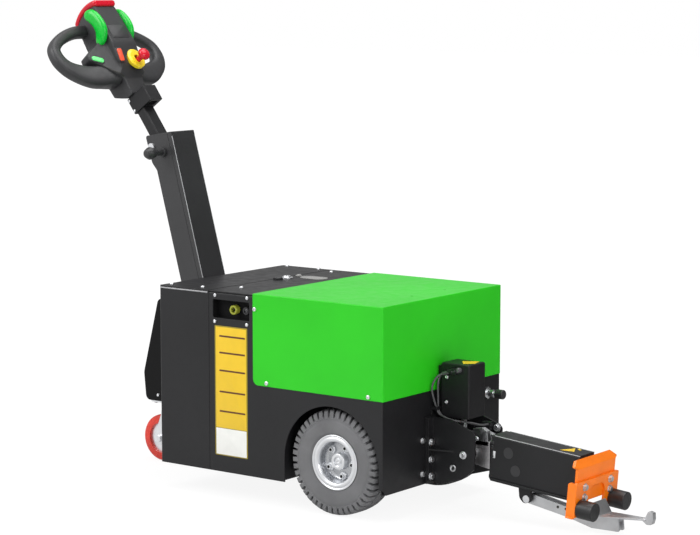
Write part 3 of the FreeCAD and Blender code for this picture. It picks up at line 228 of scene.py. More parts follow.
def ramp(tree, source, low, high, start=0.35, end=0.65):
    """Values between low and high as the source goes from start to end; numbers or colours."""
    if np.isscalar(low):
        return new_node(tree, "MapRange", (source, start, end, low, high)).outputs[0]
    made = new_node(tree, "Mix")
    made.data_type = "RGBA"
    made.inputs["A"].default_value = (*low, 1)
    made.inputs["B"].default_value = (*high, 1)
    tree.links.new(ramp(tree, source, 0.0, 1.0, start, end), made.inputs["Factor"])
    return made.outputs["Result"]


def mixed(tree, share, first, second, output):
    """The output shows the first shader where the share is 0 and the second where it is 1."""
    made = new_node(tree, "MixShader", (share, first.outputs[0], second.outputs[0]))
    tree.links.new(made.outputs[0], tree.nodes[output].inputs[0])


print("sums ready for shaders")

# %% [markdown]
# The eye sees white all round. Gloss and metal see surroundings that fall off towards the far right, as in a
# studio with one dark side, and that gives black paint its depth. A dimmer grey lights the matt surfaces.

# %% Surroundings
world = bpy.data.worlds.new("studio")
world.use_nodes = True
tree = world.node_tree
shown = tree.nodes["Background"]
shown.inputs["Color"].default_value = (1, 1, 1, 1)
towards = new_node(tree, "TexCoord").outputs["Generated"]
fall = number(tree, "SUBTRACT", 0.55, measured(tree, "DOT_PRODUCT", towards, (0.25, 0.31, 0)))
straight = new_node(tree, "LightPath").outputs["Is Camera Ray"]
tree.links.new(number(tree, "MAXIMUM", fall, straight), shown.inputs["Strength"])
dim = new_node(tree, "Background", Color=(1, 1, 1, 1), Strength=0.42)
mixed(tree, seen_directly(tree), dim, shown, "World Output")
bpy.context.scene.world = world
settings = bpy.context.scene.view_settings
settings.view_transform = "Standard"
print("view transform", settings.view_transform)

# %% [markdown]
# The floor mixes its own white with what the lamps give it, so a soft shadow stays under the tug, and it turns
# all white far out. Gloss sees it fall off to one side, as it does the surroundings.

# %% Floor
floor_finish = bpy.data.materials.new("floor white")
floor_finish.use_nodes = True
tree = floor_finish.node_tree
matt = tree.nodes["Principled BSDF"]
matt.inputs["Base Color"].default_value = (0.86, 0.86, 0.86, 1)
matt.inputs["Roughness"].default_value = 0.9
glow = new_node(tree, "Emission")
spot = new_node(tree, "TexCoord").outputs["Object"]
share = ramp(tree, measured(tree, "LENGTH", spot), 0.85, 1.0, start=0.9, end=2.0)
in_gloss = ramp(tree, measured(tree, "DOT_PRODUCT", spot, (0.6, 0.8, 0)), 0.88, 0.08, start=-0.8, end=1.6)
straight = new_node(tree, "LightPath").outputs["Is Camera Ray"]
over_white = number(tree, "MULTIPLY", straight, 1.06)
tree.links.new(number(tree, "MAXIMUM", over_white, in_gloss), glow.inputs["Strength"])
mixed(tree, number(tree, "MULTIPLY", seen_directly(tree), share), matt, glow, "Material Output")

floor_mesh = bpy.data.meshes.new("floor")
far = 30  # metres from the middle to the floor's edges
floor_mesh.from_pydata([(-far, -far, 0), (far, -far, 0), (far, far, 0), (-far, far, 0)], [], [(0, 1, 2, 3)])
floor_mesh.materials.append(floor_finish)
floor = bpy.data.objects.new("floor", floor_mesh)
into_scene(floor)
print("floor", 2 * far, "m across")

# %% [markdown]
# Finishes are recipes of noise. A slow noise shifts the colour a little over a panel, a finer one varies the
# roughness, and the finest is a bump of real depth: orange peel in powder coat, grain in moulded plastic. One
# maker function writes such a recipe, and each finish gives it its own numbers.

# %% The recipe for coats, plastics and rubbers
def linear(red, green, blue):
    """Colour as light from its 0-255 screen values: the usual 2.4 power curve."""
    value = np.array([red, green, blue]) / 255
    return np.where(value <= 0.04045, value / 12.92, ((value + 0.055) / 1.055) ** 2.4)


def noise(tree, scale, detail, stretch=None):
    """Noise over the piece's own metres: so many features a metre, stretched along some axes."""
    source = new_node(tree, "TexCoord").outputs["Object"]
    if stretch:
        source = new_node(tree, "Mapping", Vector=source, Scale=stretch).outputs[0]
    return new_node(tree, "TexNoise", Vector=source, Scale=scale, Detail=detail).outputs["Fac"]


def bump(tree, height, depth, below=None):
    """Bump node; depth is the real height in microns between the lowest and highest value."""
    made = new_node(tree, "Bump", Height=height, Distance=depth / 1e6, Strength=1)
    if below:
        tree.links.new(below, made.inputs["Normal"])
    return made.outputs[0]


def finish_of(name, colour, rough, grain, depth, tone=0.12, metal=0.0, patch=5.0, stretch=None, specular=0.5,
              edge=0.0):
    """A finish whose colour, roughness and surface all vary: colour within tone, roughness between two
    values, and a grain of so many bumps a metre and so many microns deep. Its sharp edges catch light as if
    they were rounded by edge millimetres."""
    made = bpy.data.materials.new(name)
    made.use_nodes = True
    tree = made.node_tree
    shader = tree.nodes["Principled BSDF"]
    shader.inputs["Metallic"].default_value = metal
    shader.inputs["Specular IOR Level"].default_value = specular
    colour = np.array(colour)
    wide = noise(tree, patch, 4.0, stretch)
    tree.links.new(ramp(tree, wide, colour * (1 - tone), colour * (1 + tone)), shader.inputs["Base Color"])
    tree.links.new(ramp(tree, noise(tree, patch * 9, 4.0, stretch), *rough), shader.inputs["Roughness"])
    rounded = None
    if edge:
        soft = new_node(tree, "Bevel", Radius=edge / 1000)
        soft.samples = 4
        rounded = soft.outputs[0]
    fine = bump(tree, noise(tree, grain, 2.0, stretch), depth, below=rounded)
    tree.links.new(fine, shader.inputs["Normal"])
    return made


print("body black as light", linear(27, 27, 29).round(4))

# %% [markdown]
# Coated steel has a fine orange peel and a soft edge, moulded plastic a finer grain, and rubber is rough and
# uneven. Zinc and aluminium are metals, so their colour is what they reflect; the milled block's grain is
# stretched as its cutter left it. Each node gets the finish of its slot in the record, and four get their own.

# %% The finishes
finishes = {
    "black_coat": finish_of(
        "anthracite powder coat", linear(27, 27, 29), (0.38, 0.48), 700, 30, specular=0.34, edge=2.2),
    "chassis_steel": finish_of("black primer", linear(36, 36, 38), (0.6, 0.75), 400, 80),
    "battery_case": finish_of("battery case", linear(70, 70, 74), (0.5, 0.6), 900, 60),
    "green_coat": finish_of(
        "green powder coat", linear(42, 198, 28), (0.30, 0.38), 520, 22, tone=0.04, specular=0.3, edge=2),
    "orange_coat": finish_of(
        "orange powder coat", linear(252, 124, 0), (0.32, 0.42), 520, 30, tone=0.05, patch=22, edge=1.5),
    "dark_plastic": finish_of("grained black plastic", linear(46, 46, 48), (0.42, 0.52), 1500, 30),
    "green_plastic": finish_of(
        "green lever plastic", linear(0, 190, 52), (0.22, 0.30), 300, 10, tone=0.05, patch=14),
    "red_plastic": finish_of("red plastic", linear(205, 10, 38), (0.2, 0.28), 300, 10, tone=0.06, patch=20),
    "yellow_plastic": finish_of(
        "yellow plastic", linear(246, 216, 40), (0.25, 0.32), 300, 10, tone=0.05, patch=20),
    "tyre_rubber": finish_of(
        "tyre rubber", linear(112, 112, 114), (0.68, 0.85), 1100, 100, tone=0.12, patch=12, specular=0.25),
    "buffer_rubber": finish_of("buffer rubber", linear(28, 28, 29), (0.32, 0.45), 700, 80, patch=20),
    "castor_tread": finish_of("castor tread", linear(222, 60, 44), (0.35, 0.5), 500, 60, tone=0.1, patch=25),
    "zinc_steel": finish_of(
        "bright zinc", (0.80, 0.81, 0.83), (0.28, 0.38), 60, 3, tone=0.06, metal=1.0, patch=30, edge=0.8),
    "bare_aluminium": finish_of(
        "milled aluminium", (0.50, 0.49, 0.50), (0.34, 0.48), 500, 40, tone=0.08, metal=1.0, patch=20,
        stretch=(1, 1, 9), edge=2),
}
hook_steel = finish_of(
    "dull zinc", (0.66, 0.665, 0.68), (0.34, 0.46), 60, 4, tone=0.1, metal=1.0, patch=24, edge=1)
dish_steel = finish_of(
    "zinc in shade", (0.46, 0.47, 0.49), (0.22, 0.34), 60, 4, tone=0.1, metal=1.0, patch=24, edge=1)
tray_black = finish_of("matt black tray", linear(13, 13, 14), (0.7, 0.8), 900, 30, specular=0.2)
# painted light: the column's black is lighter than the body's, for the brighter light on the column; the coat
# is also glossier
column_lit_coat = finish_of("satin column coat with painted light", linear(42, 42, 44), (0.36, 0.46), 700, 30, specular=0.6, edge=3)
# painted shade: the nose bracket's black is darker than the body's, for the shade the bracket stands in
bracket_shade_coat = finish_of("black coat with painted shade", linear(8, 8, 9), (0.42, 0.52), 700, 30, specular=0.16, edge=2.2)
own_finish = {"hook_lever": hook_steel, "socket_tray": tray_black, "tiller_column": column_lit_coat,
              "nose_bracket": bracket_shade_coat}
slot_of = {part["node"]: part["material_slot"] for part in frame["record"]["subparts"]}
for node, shape in nodes.items():
    shape.data.materials.clear()
    shape.data.materials.append(own_finish.get(node, finishes[slot_of[node]]))
print("finishes", len(finishes), "on", len(nodes), "nodes")

# %% [markdown]
# The drive tyres are small pneumatic ones with forty-four shoulder lugs a side and a zigzag rib between them.
# A tyre is a closed section carried round the axle. Ten columns make one lug, close together where a groove's
# wall falls away, so the walls stay steep without millions of faces. The sidewall is plain but for a ridge
# below the lugs and two by the bead.

# %% Drive tyres with their tread
sides = ((-1, "left"), (1, "right"))
lug_count = 44
drive_axle = np.array([545.0, 0, 125.0])
wheel_out = 202.5  # from the middle plane to a tyre's middle
groove_depth, side_cut = 9, 6.5  # how far a shoulder groove goes down, and in from the side
rib_inner, rib_outer, rib_depth = 11, 15, 4.5
swing, swings_above, leans_above = 2.6, 120, 112  # the rib's zigzag, and radii where it and the lean start
# where each change starts, by radius or by reach from the middle (minus: inwards), and over how far
opens_by_radius, opens_by_reach, deepens_by_radius = (109, 5), (17, 3), (113, 8)
cuts_by_reach, swings_by_reach, leans_by_reach = (34, 6), (-24, 9), (-40, 30)
bead_to_crown = np.array([
    (24, 51.3), (29.6, 51.3), (31.4, 55), (32.8, 60), (33.2, 66.5), (35.2, 69.2), (36.0, 69.0), (38.2, 72.6),
    (39.0, 72.6), (40.6, 77), (41.8, 83), (42.3, 90), (42.4, 97), (42.2, 103), (41.4, 104.2), (41.3, 106.4),
    (42.3, 107.4), (42.3, 110), (42.2, 113), (41.9, 117), (41.4, 120), (40.4, 122.6), (38.6, 125.0),
    (35.8, 126.8), (31, 128.2), (26, 129.0), (19, 129.6), (15.2, 129.8), (14.6, 129.8),
    (11.4, 129.9), (10.8, 129.95), (5, 130.0)])
across_half, radius_half = bead_to_crown.T
section_across = np.concatenate([-across_half, across_half[::-1]])
section_radius = np.concatenate([radius_half, radius_half[::-1]])
lug_share = np.array([0.0, 0.03, 0.13, 0.25, 0.35, 0.38, 0.50, 0.64, 0.78, 0.92])


def fade(value, start, length):
    """0 up to the start, then rising evenly to 1 over the length."""
    return np.clip((value - start) / length, 0, 1)


def tyre(hand, side):
    """The section carried round the axle, less the grooves. A shoulder groove is open for the first 38% of
    each lug's pitch and cuts in from the side and down from the crown; the two shoulders are half a pitch
    apart and lean by half a pitch towards the rib, whose edges follow a triangle wave."""
    share = (np.arange(lug_count)[:, None] + lug_share).ravel()
    part = share % 1
    across = section_across[:, None]
    radius = section_radius[:, None]
    reach = np.abs(across)
    wall = ((part > 0.01) & (part < 0.37)) * fade(radius, *opens_by_radius) * fade(reach, *opens_by_reach)
    rib_groove = (reach > rib_inner) & (reach < rib_outer)
    zigzag = (4 * np.abs(part - 0.5) - 1) * swing * fade(-reach, *swings_by_reach) * (radius > swings_above)
    slant = np.sign(across) * fade(-reach, *leans_by_reach) * 0.5 * (radius > leans_above) + (across > 0) * 0.5
    turn = (share + slant) * 2 * math.pi / lug_count
    down = wall * groove_depth * fade(radius, *deepens_by_radius)
    radius = radius - np.maximum(down, rib_groove * rib_depth)
    across = across - np.sign(across) * wall * fade(reach, *cuts_by_reach) * side_cut + zigzag
    grid = np.stack([radius * np.sin(turn), across + 0 * turn, radius * np.cos(turn)], -1)
    made = build("tyre_" + hand, [lay(grid, start=drive_axle + (0, side * wheel_out, 0))], "wheel_" + hand,
                 "tyre_rubber", smooth_under=38, ring_rows=True)
    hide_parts("drive_tyre_" + hand)


for side, hand in sides:
    tyre(hand, side)

# %% [markdown]
# A round head is a profile turned about its axis. A hexagon's distance from the middle is half its width over
# the cosine of the angle from the nearest side's middle, and a socket is the same hexagon going down.

# %% Heads of screws and bolts
def rings(rows, steps=24):
    """Profile turned about the third direction in so many steps. A row is (height, radius), or (height, half
    width, 1) where that ring is a hexagon."""
    height, radius, six = np.array([(*row, 0)[:3] for row in rows], float).T[:, :, None]
    turn = np.arange(steps) * 2 * math.pi / steps
    hexagon = 1 / np.cos((turn + math.pi / 6) % (math.pi / 3) - math.pi / 6)
    reach = radius * (1 + six * (hexagon - 1))
    return np.stack([reach * np.cos(turn), reach * np.sin(turn), height + 0 * reach], -1)


def button(r):
    """Domed head with a hexagon socket."""
    return rings([(-1, r * .7), (0, r), (r * .22, r), (r * .48, r * .86), (r * .62, r * .6),
                  (r * .60, r * .46, 1), (r * .2, r * .44, 1), (r * .15, r * .1)])


def bolt(r):
    """Hexagon head, chamfered at its top, on a washer."""
    return rings([(-1, r * 1.2), (0, r * 1.45), (r * .2, r * 1.45), (r * .22, r * 1.1),
                  (r * .25, r, 1), (r * .92, r, 1), (r * 1.04, r * .93), (r * .98, r * .55),
                  (r * .98, r * .05)])


print("a button head has", button(5).shape[0], "rings, a bolt", bolt(5).shape[0])

# %% [markdown]
# A head made once is put wherever a screw is: its height goes along the direction it faces. Most of the tug is
# the same on both sides, so one list of places does for two. The screws on one body make one piece.

# %% Screws where the maker put them
def unit(vectors):
    """The vectors, each over its own length."""
    return vectors / np.linalg.norm(vectors, axis=-1, keepdims=True)


def facing(axis):
    """Two directions square to the axis, and the axis."""
    axis = unit(np.array(axis, float))
    first = unit(np.cross((0, 0, 1) if abs(axis[2]) < 0.9 else (1, 0, 0), axis))
    return np.array([first, np.cross(axis, first), axis])


def put(shape, places, axis, **local):
    """The shape's grid at each place, its height along the axis."""
    turned = shape @ facing(axis)
    return [lay(turned + np.array(place), **local) for place in places]


left, right, top, tow, nose_way = (0, -1, 0), (0, 1, 0), (0, 0, 1), (1, 0, 0), (-1, 0, 0)


def both_sides(shape, places, **local):
    """The shape at each place facing right, and at its mirror image across the middle plane facing left."""
    mirrored = [(x, -y, z) for x, y, z in places]
    return put(shape, mirrored, left, **local) + put(shape, places, right, **local)


plate, panel = 512, 249  # height of the top plates, and the side panels from the middle
body_screws = both_sides(button(5.6), [(310, 251, 477), (347, 251, 298), (654, 251, 298)])
body_screws += both_sides(button(4.2), [(-186, 50.3, 181), (-150, 50.3, 181)])
body_screws += both_sides(button(5.0), [(729, 35, 263), (730, 35, 324)])
body_screws += both_sides(bolt(6.6), [(796, 61, 145)])
for screw, places, way in (
        (button(5.2), [(16, -220, plate), (115, -216, plate), (198, -165, plate), (24, 237, plate),
                       (129, 239, plate), (193, 211, plate)], top),
        (button(4.6), [(183, -panel, 501), (285, -panel, 502), (182, -panel, 436), (284, -panel, 436)], left),
        (bolt(5.4), [(-5, y, z) for y in (-63, 63) for z in (225, 290, 355, 415)], nose_way),
        (bolt(4.2), [(-170 + x, y, 159) for x in (-41, 41) for y in (-31, 31)], (0, 0, -1)),
        (bolt(6.6), [(708, y, z) for y in (-69.5, 69.5) for z in (84, 125, 167)], tow),
        (bolt(5.4), [(695, y, z) for y in (-87, 87) for z in (90, 172)], tow),
        (bolt(7.0), [(816, 56, 196)], left)):
    body_screws += put(screw, places, way)
build("body_screws", body_screws, "chassis", "zinc_steel")
spare_ring = rings([(-3, 5.2), (-3, 8.6), (2.6, 8.6), (3.2, 8.0), (3.2, 5.8), (2.6, 5.2)])
build("spare_rings", both_sides(spare_ring, [(767, 61, 110)]), "chassis", "zinc_steel", ring_rows=True)
arm_bolts = put(bolt(6.4), [(278, y, up) for y in (-57.5, 57.5) for up in (18.5, 42.5)], tow, **on_beam)
build("arm_bolts", arm_bolts + both_sides(button(5.5), [(812, 28, 182)]), "tow_arm", "zinc_steel")

# %% [markdown]
# A pressed wheel shows three things: a rolled lip with a fine groove behind it, a broad bead that curves in to
# the dish, and the dish with five bosses for its screws. The lip and the dish are profiles turned about the
# axle, in many steps because their edges show.

# %% Rolled lip and dish of the wheels
rim_profile = [(-30, 50.4), (30.8, 50.4), (32.2, 56), (33.2, 62), (33.6, 66.0), (35.0, 67.6), (36.8, 67.6),
               (37.6, 66.4), (37.4, 64.2), (36.2, 63.2), (35.9, 62.4), (37.0, 61.2), (38.0, 58.6), (38.0, 55.4),
               (36.6, 52.2), (33.6, 49.9), (30, 49.1), (28, 48.9), (-30, 48.9)]
dish_profile = [(-30, 49.3), (28.3, 49.3), (28.3, 48.7), (22, 48.0), (14, 46.8), (10, 45.0), (8.2, 42),
                (7.8, 37), (7.6, 27), (7.6, 20.6), (-30, 20.6)]
boss = rings([(2, 10.4), (11.0, 10.0), (12.6, 9.0), (13.2, 7.6), (13.2, 1)], 32)
cap_screw = rings([(12, 6.4), (17.2, 6.4), (18.2, 5.6), (18.2, 3.4, 1), (14.4, 3.2, 1), (14.4, 0.4)])
# painted shade: a dark hexagon on each screw's socket stands for the shade down in the hole
socket = rings([(14, 3.6, 1), (18.5, 3.6, 1), (18.6, .3, 1)])
hub = rings([(4, 20.4), (22.6, 20.2), (23.9, 19.2), (24.3, 17.8), (24.3, 12.8), (23.4, 11.8), (19.8, 11.4),
             (19.6, .5)])
hub_nut = rings([(19, 7.4, 1), (22.4, 7.4, 1), (23.0, 6.6, 1), (23.0, 3.6), (21.2, 3.4), (21.1, .4)])
bolt_ring, first_bolt = 36.5, math.radians(64)
around = first_bolt + np.arange(5) * 2 * math.pi / 5
for side, hand in sides:
    out = (0, side, 0)
    middle = drive_axle + (0, side * wheel_out, 0)
    five = [middle + (bolt_ring * math.cos(turn), 0, bolt_ring * math.sin(turn)) for turn in around]
    made = build("rim_" + hand, put(rings(rim_profile, 96), [middle], out), "wheel_" + hand, "zinc_steel",
                 smooth_under=50, ring_rows=True)
    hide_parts("drive_rim_" + hand)
    build("dish_" + hand, put(rings(dish_profile, 96), [middle], out), "wheel_" + hand, "zinc_steel",
          dish_steel, smooth_under=50, ring_rows=True)
    build("wheel_socket_shade_" + hand, put(socket, five, out), "wheel_" + hand, "tyre_rubber", tray_black)
    hub_parts = put(boss, five, out) + put(cap_screw, five, out) + put(hub, [middle], out)
    made = build("wheel_bolts_" + hand, hub_parts + put(hub_nut, [middle], out), "wheel_" + hand,
                 "zinc_steel", smooth_under=40)
    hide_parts("wheel_hub_" + hand)

# %% [markdown]
# The drive unit's axle is longer than the hubs that sit on it. On the real one each end stops inside its hub,
# under the nut. So the unit's mesh is copied, and points further out than that are moved in to one plane.

# %% Axle ends that stop under the nuts
axle_end = 0.2215  # metres from the middle plane
unit_shape = nodes["drive_unit"].data.copy()
outward(unit_shape)
corners = np.empty(len(unit_shape.vertices) * 3)
unit_shape.vertices.foreach_get("co", corners)
corners[1::3] = np.clip(corners[1::3], -axle_end, axle_end)
unit_shape.vertices.foreach_set("co", corners)
drive_block = bpy.data.objects.new("drive_block", unit_shape)
into_scene(drive_block)
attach(drive_block, "chassis")
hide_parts("drive_unit")
print("axle ends at", axle_end, "m each side")

# %% [markdown]
# The tiller's head is one big moulding with soft edges everywhere. Its solid is copied, merged and remeshed in
# small cubes, and then smoothed, which rounds every edge by a few millimetres as a mould does. The red pad at
# the end gets finer cubes, and as smoothing thins it, it is swollen again.

# %% Soft mouldings made from the solids
def softened(node, name, body, cube, passes, grow=0):
    """The node's mesh as cubes of this many millimetres, smoothed so many times and grown by some more; it
    stands for the node."""
    mesh = nodes[node].data.copy()
    outward(mesh)
    piece = bpy.data.objects.new(name, mesh)
    into_scene(piece)
    remesh = piece.modifiers.new("cubes", "REMESH")
    remesh.mode = "VOXEL"
    remesh.voxel_size = cube / 1000
    smooth = piece.modifiers.new("smooth", "SMOOTH")
    smooth.factor = 0.5
    smooth.iterations = passes
    if grow:
        swell = piece.modifiers.new("swell", "DISPLACE")
        swell.strength = grow / 1000
        swell.mid_level = 0
    view = bpy.context.evaluated_depsgraph_get()
    done = bpy.data.meshes.new_from_object(piece.evaluated_get(view))
    piece.modifiers.clear()
    piece.data = done
    done.shade_smooth()
    done.materials.clear()
    done.materials.append(finishes[slot_of[node]])
    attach(piece, body)
    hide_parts(node)
    print(name, "faces", len(done.polygons))
    return piece


head = softened("tiller_head", "head_moulding", "tiller", 1.6, 7)
softened("belly_button", "belly_pad", "tiller", 1.2, 8, grow=4)

# %% [markdown]
# Each closed grip is a section carried along a line in the head's plane. The line and the section's size are
# cubics through a few stations, and the section is a superellipse, between an ellipse and a rectangle.

# %% Closed hand grips
grip_power = 0.64
grip_stations = [
    # up the head, across, half width in the plane, lowest and highest off the plane, lean of the front edge
    (1183, -30, 16, 289, 321, 0), (1179, -86, 15.5, 290, 320, 0), (1160, -143, 15.5, 290, 320, 0),
    (1131, -185, 16, 290, 320, 0), (1098, -191, 18, 289, 321, 1), (1071, -177, 20.5, 289, 322, 3),
    (1053, -150, 24, 288, 324, 6), (1038, -111, 28, 288, 330, 9), (1034, -74, 29, 287, 338, 9),
    (1030, -36, 29, 286, 347, 5)]


def smooth_rows(rows, steps):
    """Cubics through the rows, so many points to each stretch; each slope follows the row's neighbours."""
    rows = np.asarray(rows, float)
    slopes = np.gradient(rows, axis=0)
    t = (np.arange(steps) / steps)[:, None]
    weights = (2 * t**3 - 3 * t**2 + 1, t**3 - 2 * t**2 + t, 3 * t**2 - 2 * t**3, t**3 - t**2)
    parts = (rows[:-1, None], slopes[:-1, None], rows[1:, None], slopes[1:, None])
    joined = sum(weight * part for weight, part in zip(weights, parts))
    return np.concatenate([joined.reshape(-1, rows.shape[1]), rows[-1:]])


def square_off(wave, power):
    """The wave's size to a power below 1, with its sign: it fills the corners of a round section."""
    return np.sign(wave) * np.abs(wave) ** power


def beside_line(first, second):
    """Unit direction square to a line in its plane, as shares of the two directions the plane is given in."""
    run_first, run_second = np.gradient(first, axis=0), np.gradient(second, axis=0)
    long = np.hypot(run_first, run_second)
    return -run_second / long, run_first / long


def grip(hand, side):
    """Each ring is a squared-off cosine out from the line and a squared-off sine off its plane, and its front
    edge stands out further by the lean."""
    up, across, wide, low, high, lean = smooth_rows(grip_stations, 12).T[:, :, None]
    turn = np.arange(48) * math.pi / 24
    out = square_off(np.cos(turn), grip_power)
    rise = square_off(np.sin(turn), grip_power)
    reach = wide * out + lean * np.clip(out, 0, 1) * (1 + rise) / 2
    by_up, by_across = beside_line(up, across)
    grid = np.stack([up + by_up * reach, -side * (across + by_across * reach),
                     (low + high) / 2 + (high - low) / 2 * rise], -1)
    made = build("grip_" + hand, [lay(grid, **on_tiller)], "tiller", "dark_plastic", smooth_under=60)
    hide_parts("hand_grip_" + hand)


# %% [markdown]
# The thumb levers are curved bands made in the same way, but their line lies in an upright plane beside the
# head, where a thumb presses them.

# %% Thumb levers
lever_power = 0.8
lever_stations = [
    # up the head, off its plane, half thickness, across, half width
    (1207, 344, 2, -52, 2), (1205.5, 346, 8, -52, 6), (1202, 352, 14, -52, 8.6), (1193, 363, 18, -52, 9.6),
    (1171, 371, 18.5, -52, 10), (1146, 371, 18.5, -52, 10), (1130, 361, 17, -52, 9.6),
    (1122, 350, 14, -52, 8.6), (1118, 342, 9, -52, 6.4), (1117, 339.5, 2, -52, 2)]


def lever(hand, side):
    """Each ring is a squared-off cosine square to the line and a squared-off sine across."""
    up, off, thick, across, wide = smooth_rows(lever_stations, 10).T[:, :, None]
    turn = np.arange(32) * math.pi / 16
    reach = thick * square_off(np.cos(turn), lever_power)
    by_up, by_off = beside_line(up, off)
    grid = np.stack([up + by_up * reach, -side * (across + wide * square_off(np.sin(turn), lever_power)),
                     off + by_off * reach], -1)
    made = build("lever_" + hand, [lay(grid, **on_tiller)], "tiller", "green_plastic", smooth_under=60)
    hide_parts("thumb_lever_" + hand)


for side, hand in sides:
    grip(hand, side)
    lever(hand, side)

# %% [markdown]
# Labels, lids and switch frames are tiles: a rounded rectangle with a small chamfer at its top. A tile lies on
# its place like a screw, with its length and width along the two directions square to its axis. Printed films
# and small mouldings share one quiet recipe.

# %% Tiles and their finishes
def tile(length, width, corner, low, high, edge=0.5, steps=6):
    """Rounded rectangle from one height to another. Its corners are quarter circles, drawn in at the top."""
    quarter = np.arange(steps + 1) * math.pi / 2 / steps
    turn = (np.arange(4)[:, None] * math.pi / 2 + quarter).ravel()
    middle_a = np.repeat(np.array([1, -1, -1, 1]) * (length / 2 - corner), steps + 1)
    middle_b = np.repeat(np.array([1, 1, -1, -1]) * (width / 2 - corner), steps + 1)
    rows = [(low, 0), (high - edge, 0), (high - edge * 0.3, edge * 0.3), (high, edge)]
    return np.stack([np.stack([middle_a + (corner - inset) * np.cos(turn),
                               middle_b + (corner - inset) * np.sin(turn),
                               height + 0 * turn], -1) for height, inset in rows])


def plain(name, colour, rough=(0.4, 0.5)):
    """A finish with little grain, from a screen colour."""
    return finish_of(name, linear(*colour), rough, 500, 10, tone=0.03, patch=30)


label_white = plain("label white", (236, 236, 232))
# dark for the head's seams, and painted shade for the discs in the lever's holes
seam_dark_and_hole_shade = plain("seam dark and painted hole shade", (44, 42, 34))
label_yellow = plain("label yellow", (232, 192, 36))
label_olive = plain("label border", (150, 132, 22))
label_brown = plain("label rule", (92, 46, 14))
lens_green = plain("switch green", (96, 226, 122), (0.2, 0.26))
lens_orange = plain("switch orange", (240, 92, 62), (0.2, 0.26))
socket_green = plain("socket ring", (150, 156, 46), (0.35, 0.5))
# painted highlight: light grey for the thin rods that stand for light caught along edges
edge_highlight_paint = plain("painted edge highlight", (165, 165, 168), (0.3, 0.4))
plate_grey = plain("light grey plate", (140, 140, 138), (0.3, 0.4))
print("a tile has", tile(40, 20, 4, 0, 1).shape[:2], "rings and points to a ring")

# %% [markdown]
# The long label on the side panel is a stack of films: an olive border, a yellow field and a white one, and
# brown rules that stand a little higher. Its fields stay blank.

# %% Blank side label
build("side_label_border", put(tile(104, 325, 3, -0.3, 0.4, 0.2), [(233, -panel, 264)], left), "chassis",
      "yellow_plastic", label_olive)
build("side_label", put(tile(97, 252, 1, 0.2, 0.7, 0.2), [(233, -panel, 297.5)], left), "chassis",
      "yellow_plastic", label_yellow)
build("side_label_field", put(tile(97, 66, 1, 0.2, 0.7, 0.2), [(233, -panel, 137)], left), "chassis",
      "yellow_plastic", label_white)
rule_heights = (401, 359.5, 315, 262, 213)
build("side_label_lines", put(tile(82, 4.4, 1, 0.3, 1.0, 0.2), [(237, -panel, z) for z in rule_heights], left),
      "chassis", "dark_plastic", label_brown)

# %% [markdown]
# Two sockets stand in the recess above the label: a large one for the charger and a small one for data. Each
# is a ring with an open middle and thin pins.

# %% Sockets in the recess
recess = -231  # the tray's back, across
for name, place, colour, slot, radius, depth in (
        ("socket_charge", 237, socket_green, "yellow_plastic", 11.4, 14.2),
        ("socket_data", 273, None, "dark_plastic", 9.3, 9.2)):
    rim = rings([(depth - 3, radius * 0.6), (0, radius * 0.6), (0, radius + 0.2), (depth - 1, radius + 0.2),
                 (depth, radius - 0.6), (depth, radius * 0.66), (depth - 1, radius * 0.6)])
    build(name, put(rim, [(place, recess, 468)], left), "chassis", slot, colour, ring_rows=True)
pin = rings([(0, 1.1), (7, 1.1), (8, 0.6)])
pin_places = [(x, recess, 468 + z) for middle, reach in ((237, 3.4), (273, 2.8))
              for x, z in ((middle - reach, 1), (middle + reach, 1), (middle, -reach), (middle, 4))]
build("socket_pins", put(pin, pin_places, left), "chassis", "zinc_steel")

# %% [markdown]
# The top plates carry a black cap, a key switch with its slot, a small signal dome and a blank oval plate.

# %% Fittings on the top plates
cap = rings([(-1, 12), (0, 12.5), (5, 12.5), (6.5, 11), (7, 6), (7, .5)])
lock = rings([(-1, 15), (0, 16), (2, 16), (2.6, 14.5), (3, 10), (5.6, 9.4), (6.4, 8.6), (6.5, .5)])
dome = rings([(-1, 8), (0, 9), (1.5, 9), (1.8, 7.0), (3.4, 6.2), (4.6, 4.2), (5.2, 1.5), (5.3, .3)])
build("top_cap", put(cap, [(175, 9, plate)], top), "chassis", "dark_plastic")
build("key_switch", put(lock, [(175, 46, plate)], top), "chassis", "zinc_steel")
build("key_slot", put(tile(1.8, 7, 0.6, 6.2, 6.9, 0.2), [(175, 46, plate)], top), "chassis", "dark_plastic")
build("signal_dome", put(dome, [(175, 96, plate)], top), "chassis", "yellow_plastic", plate_grey)
build("top_plate_oval", put(tile(44, 78, 21.5, -0.3, 1.6, 0.6, 10), [(231, 87, plate)], top), "chassis",
      "zinc_steel", plate_grey)

# %% [markdown]
# What sits on the head follows its curved face. A line square to the head's plane is cast onto the moulding,
# and the piece stands on the point it meets, square to the surface there.

# %% Plate and switches on the head
above_head = 460  # where the lines start, off the head's plane


def on_head(grid, up, across, turn=0):
    """The grid's first direction goes up the head and its third off the surface; turn is in degrees. Gives
    nothing where the line misses."""
    eye = lay((up, across, above_head), **on_tiller)
    met, place, normal = head.ray_cast(eye.tolist(), (-head_ways[2]).tolist())[:3]
    if not met:
        return None
    normal = np.array(normal)
    first = unit(head_ways[0] - normal * (head_ways[0] @ normal))
    second = np.cross(normal, first)
    c, s = math.cos(math.radians(turn)), math.sin(math.radians(turn))
    return grid @ np.array([first * c + second * s, second * c - first * s, normal]) / 1000 + np.array(place)


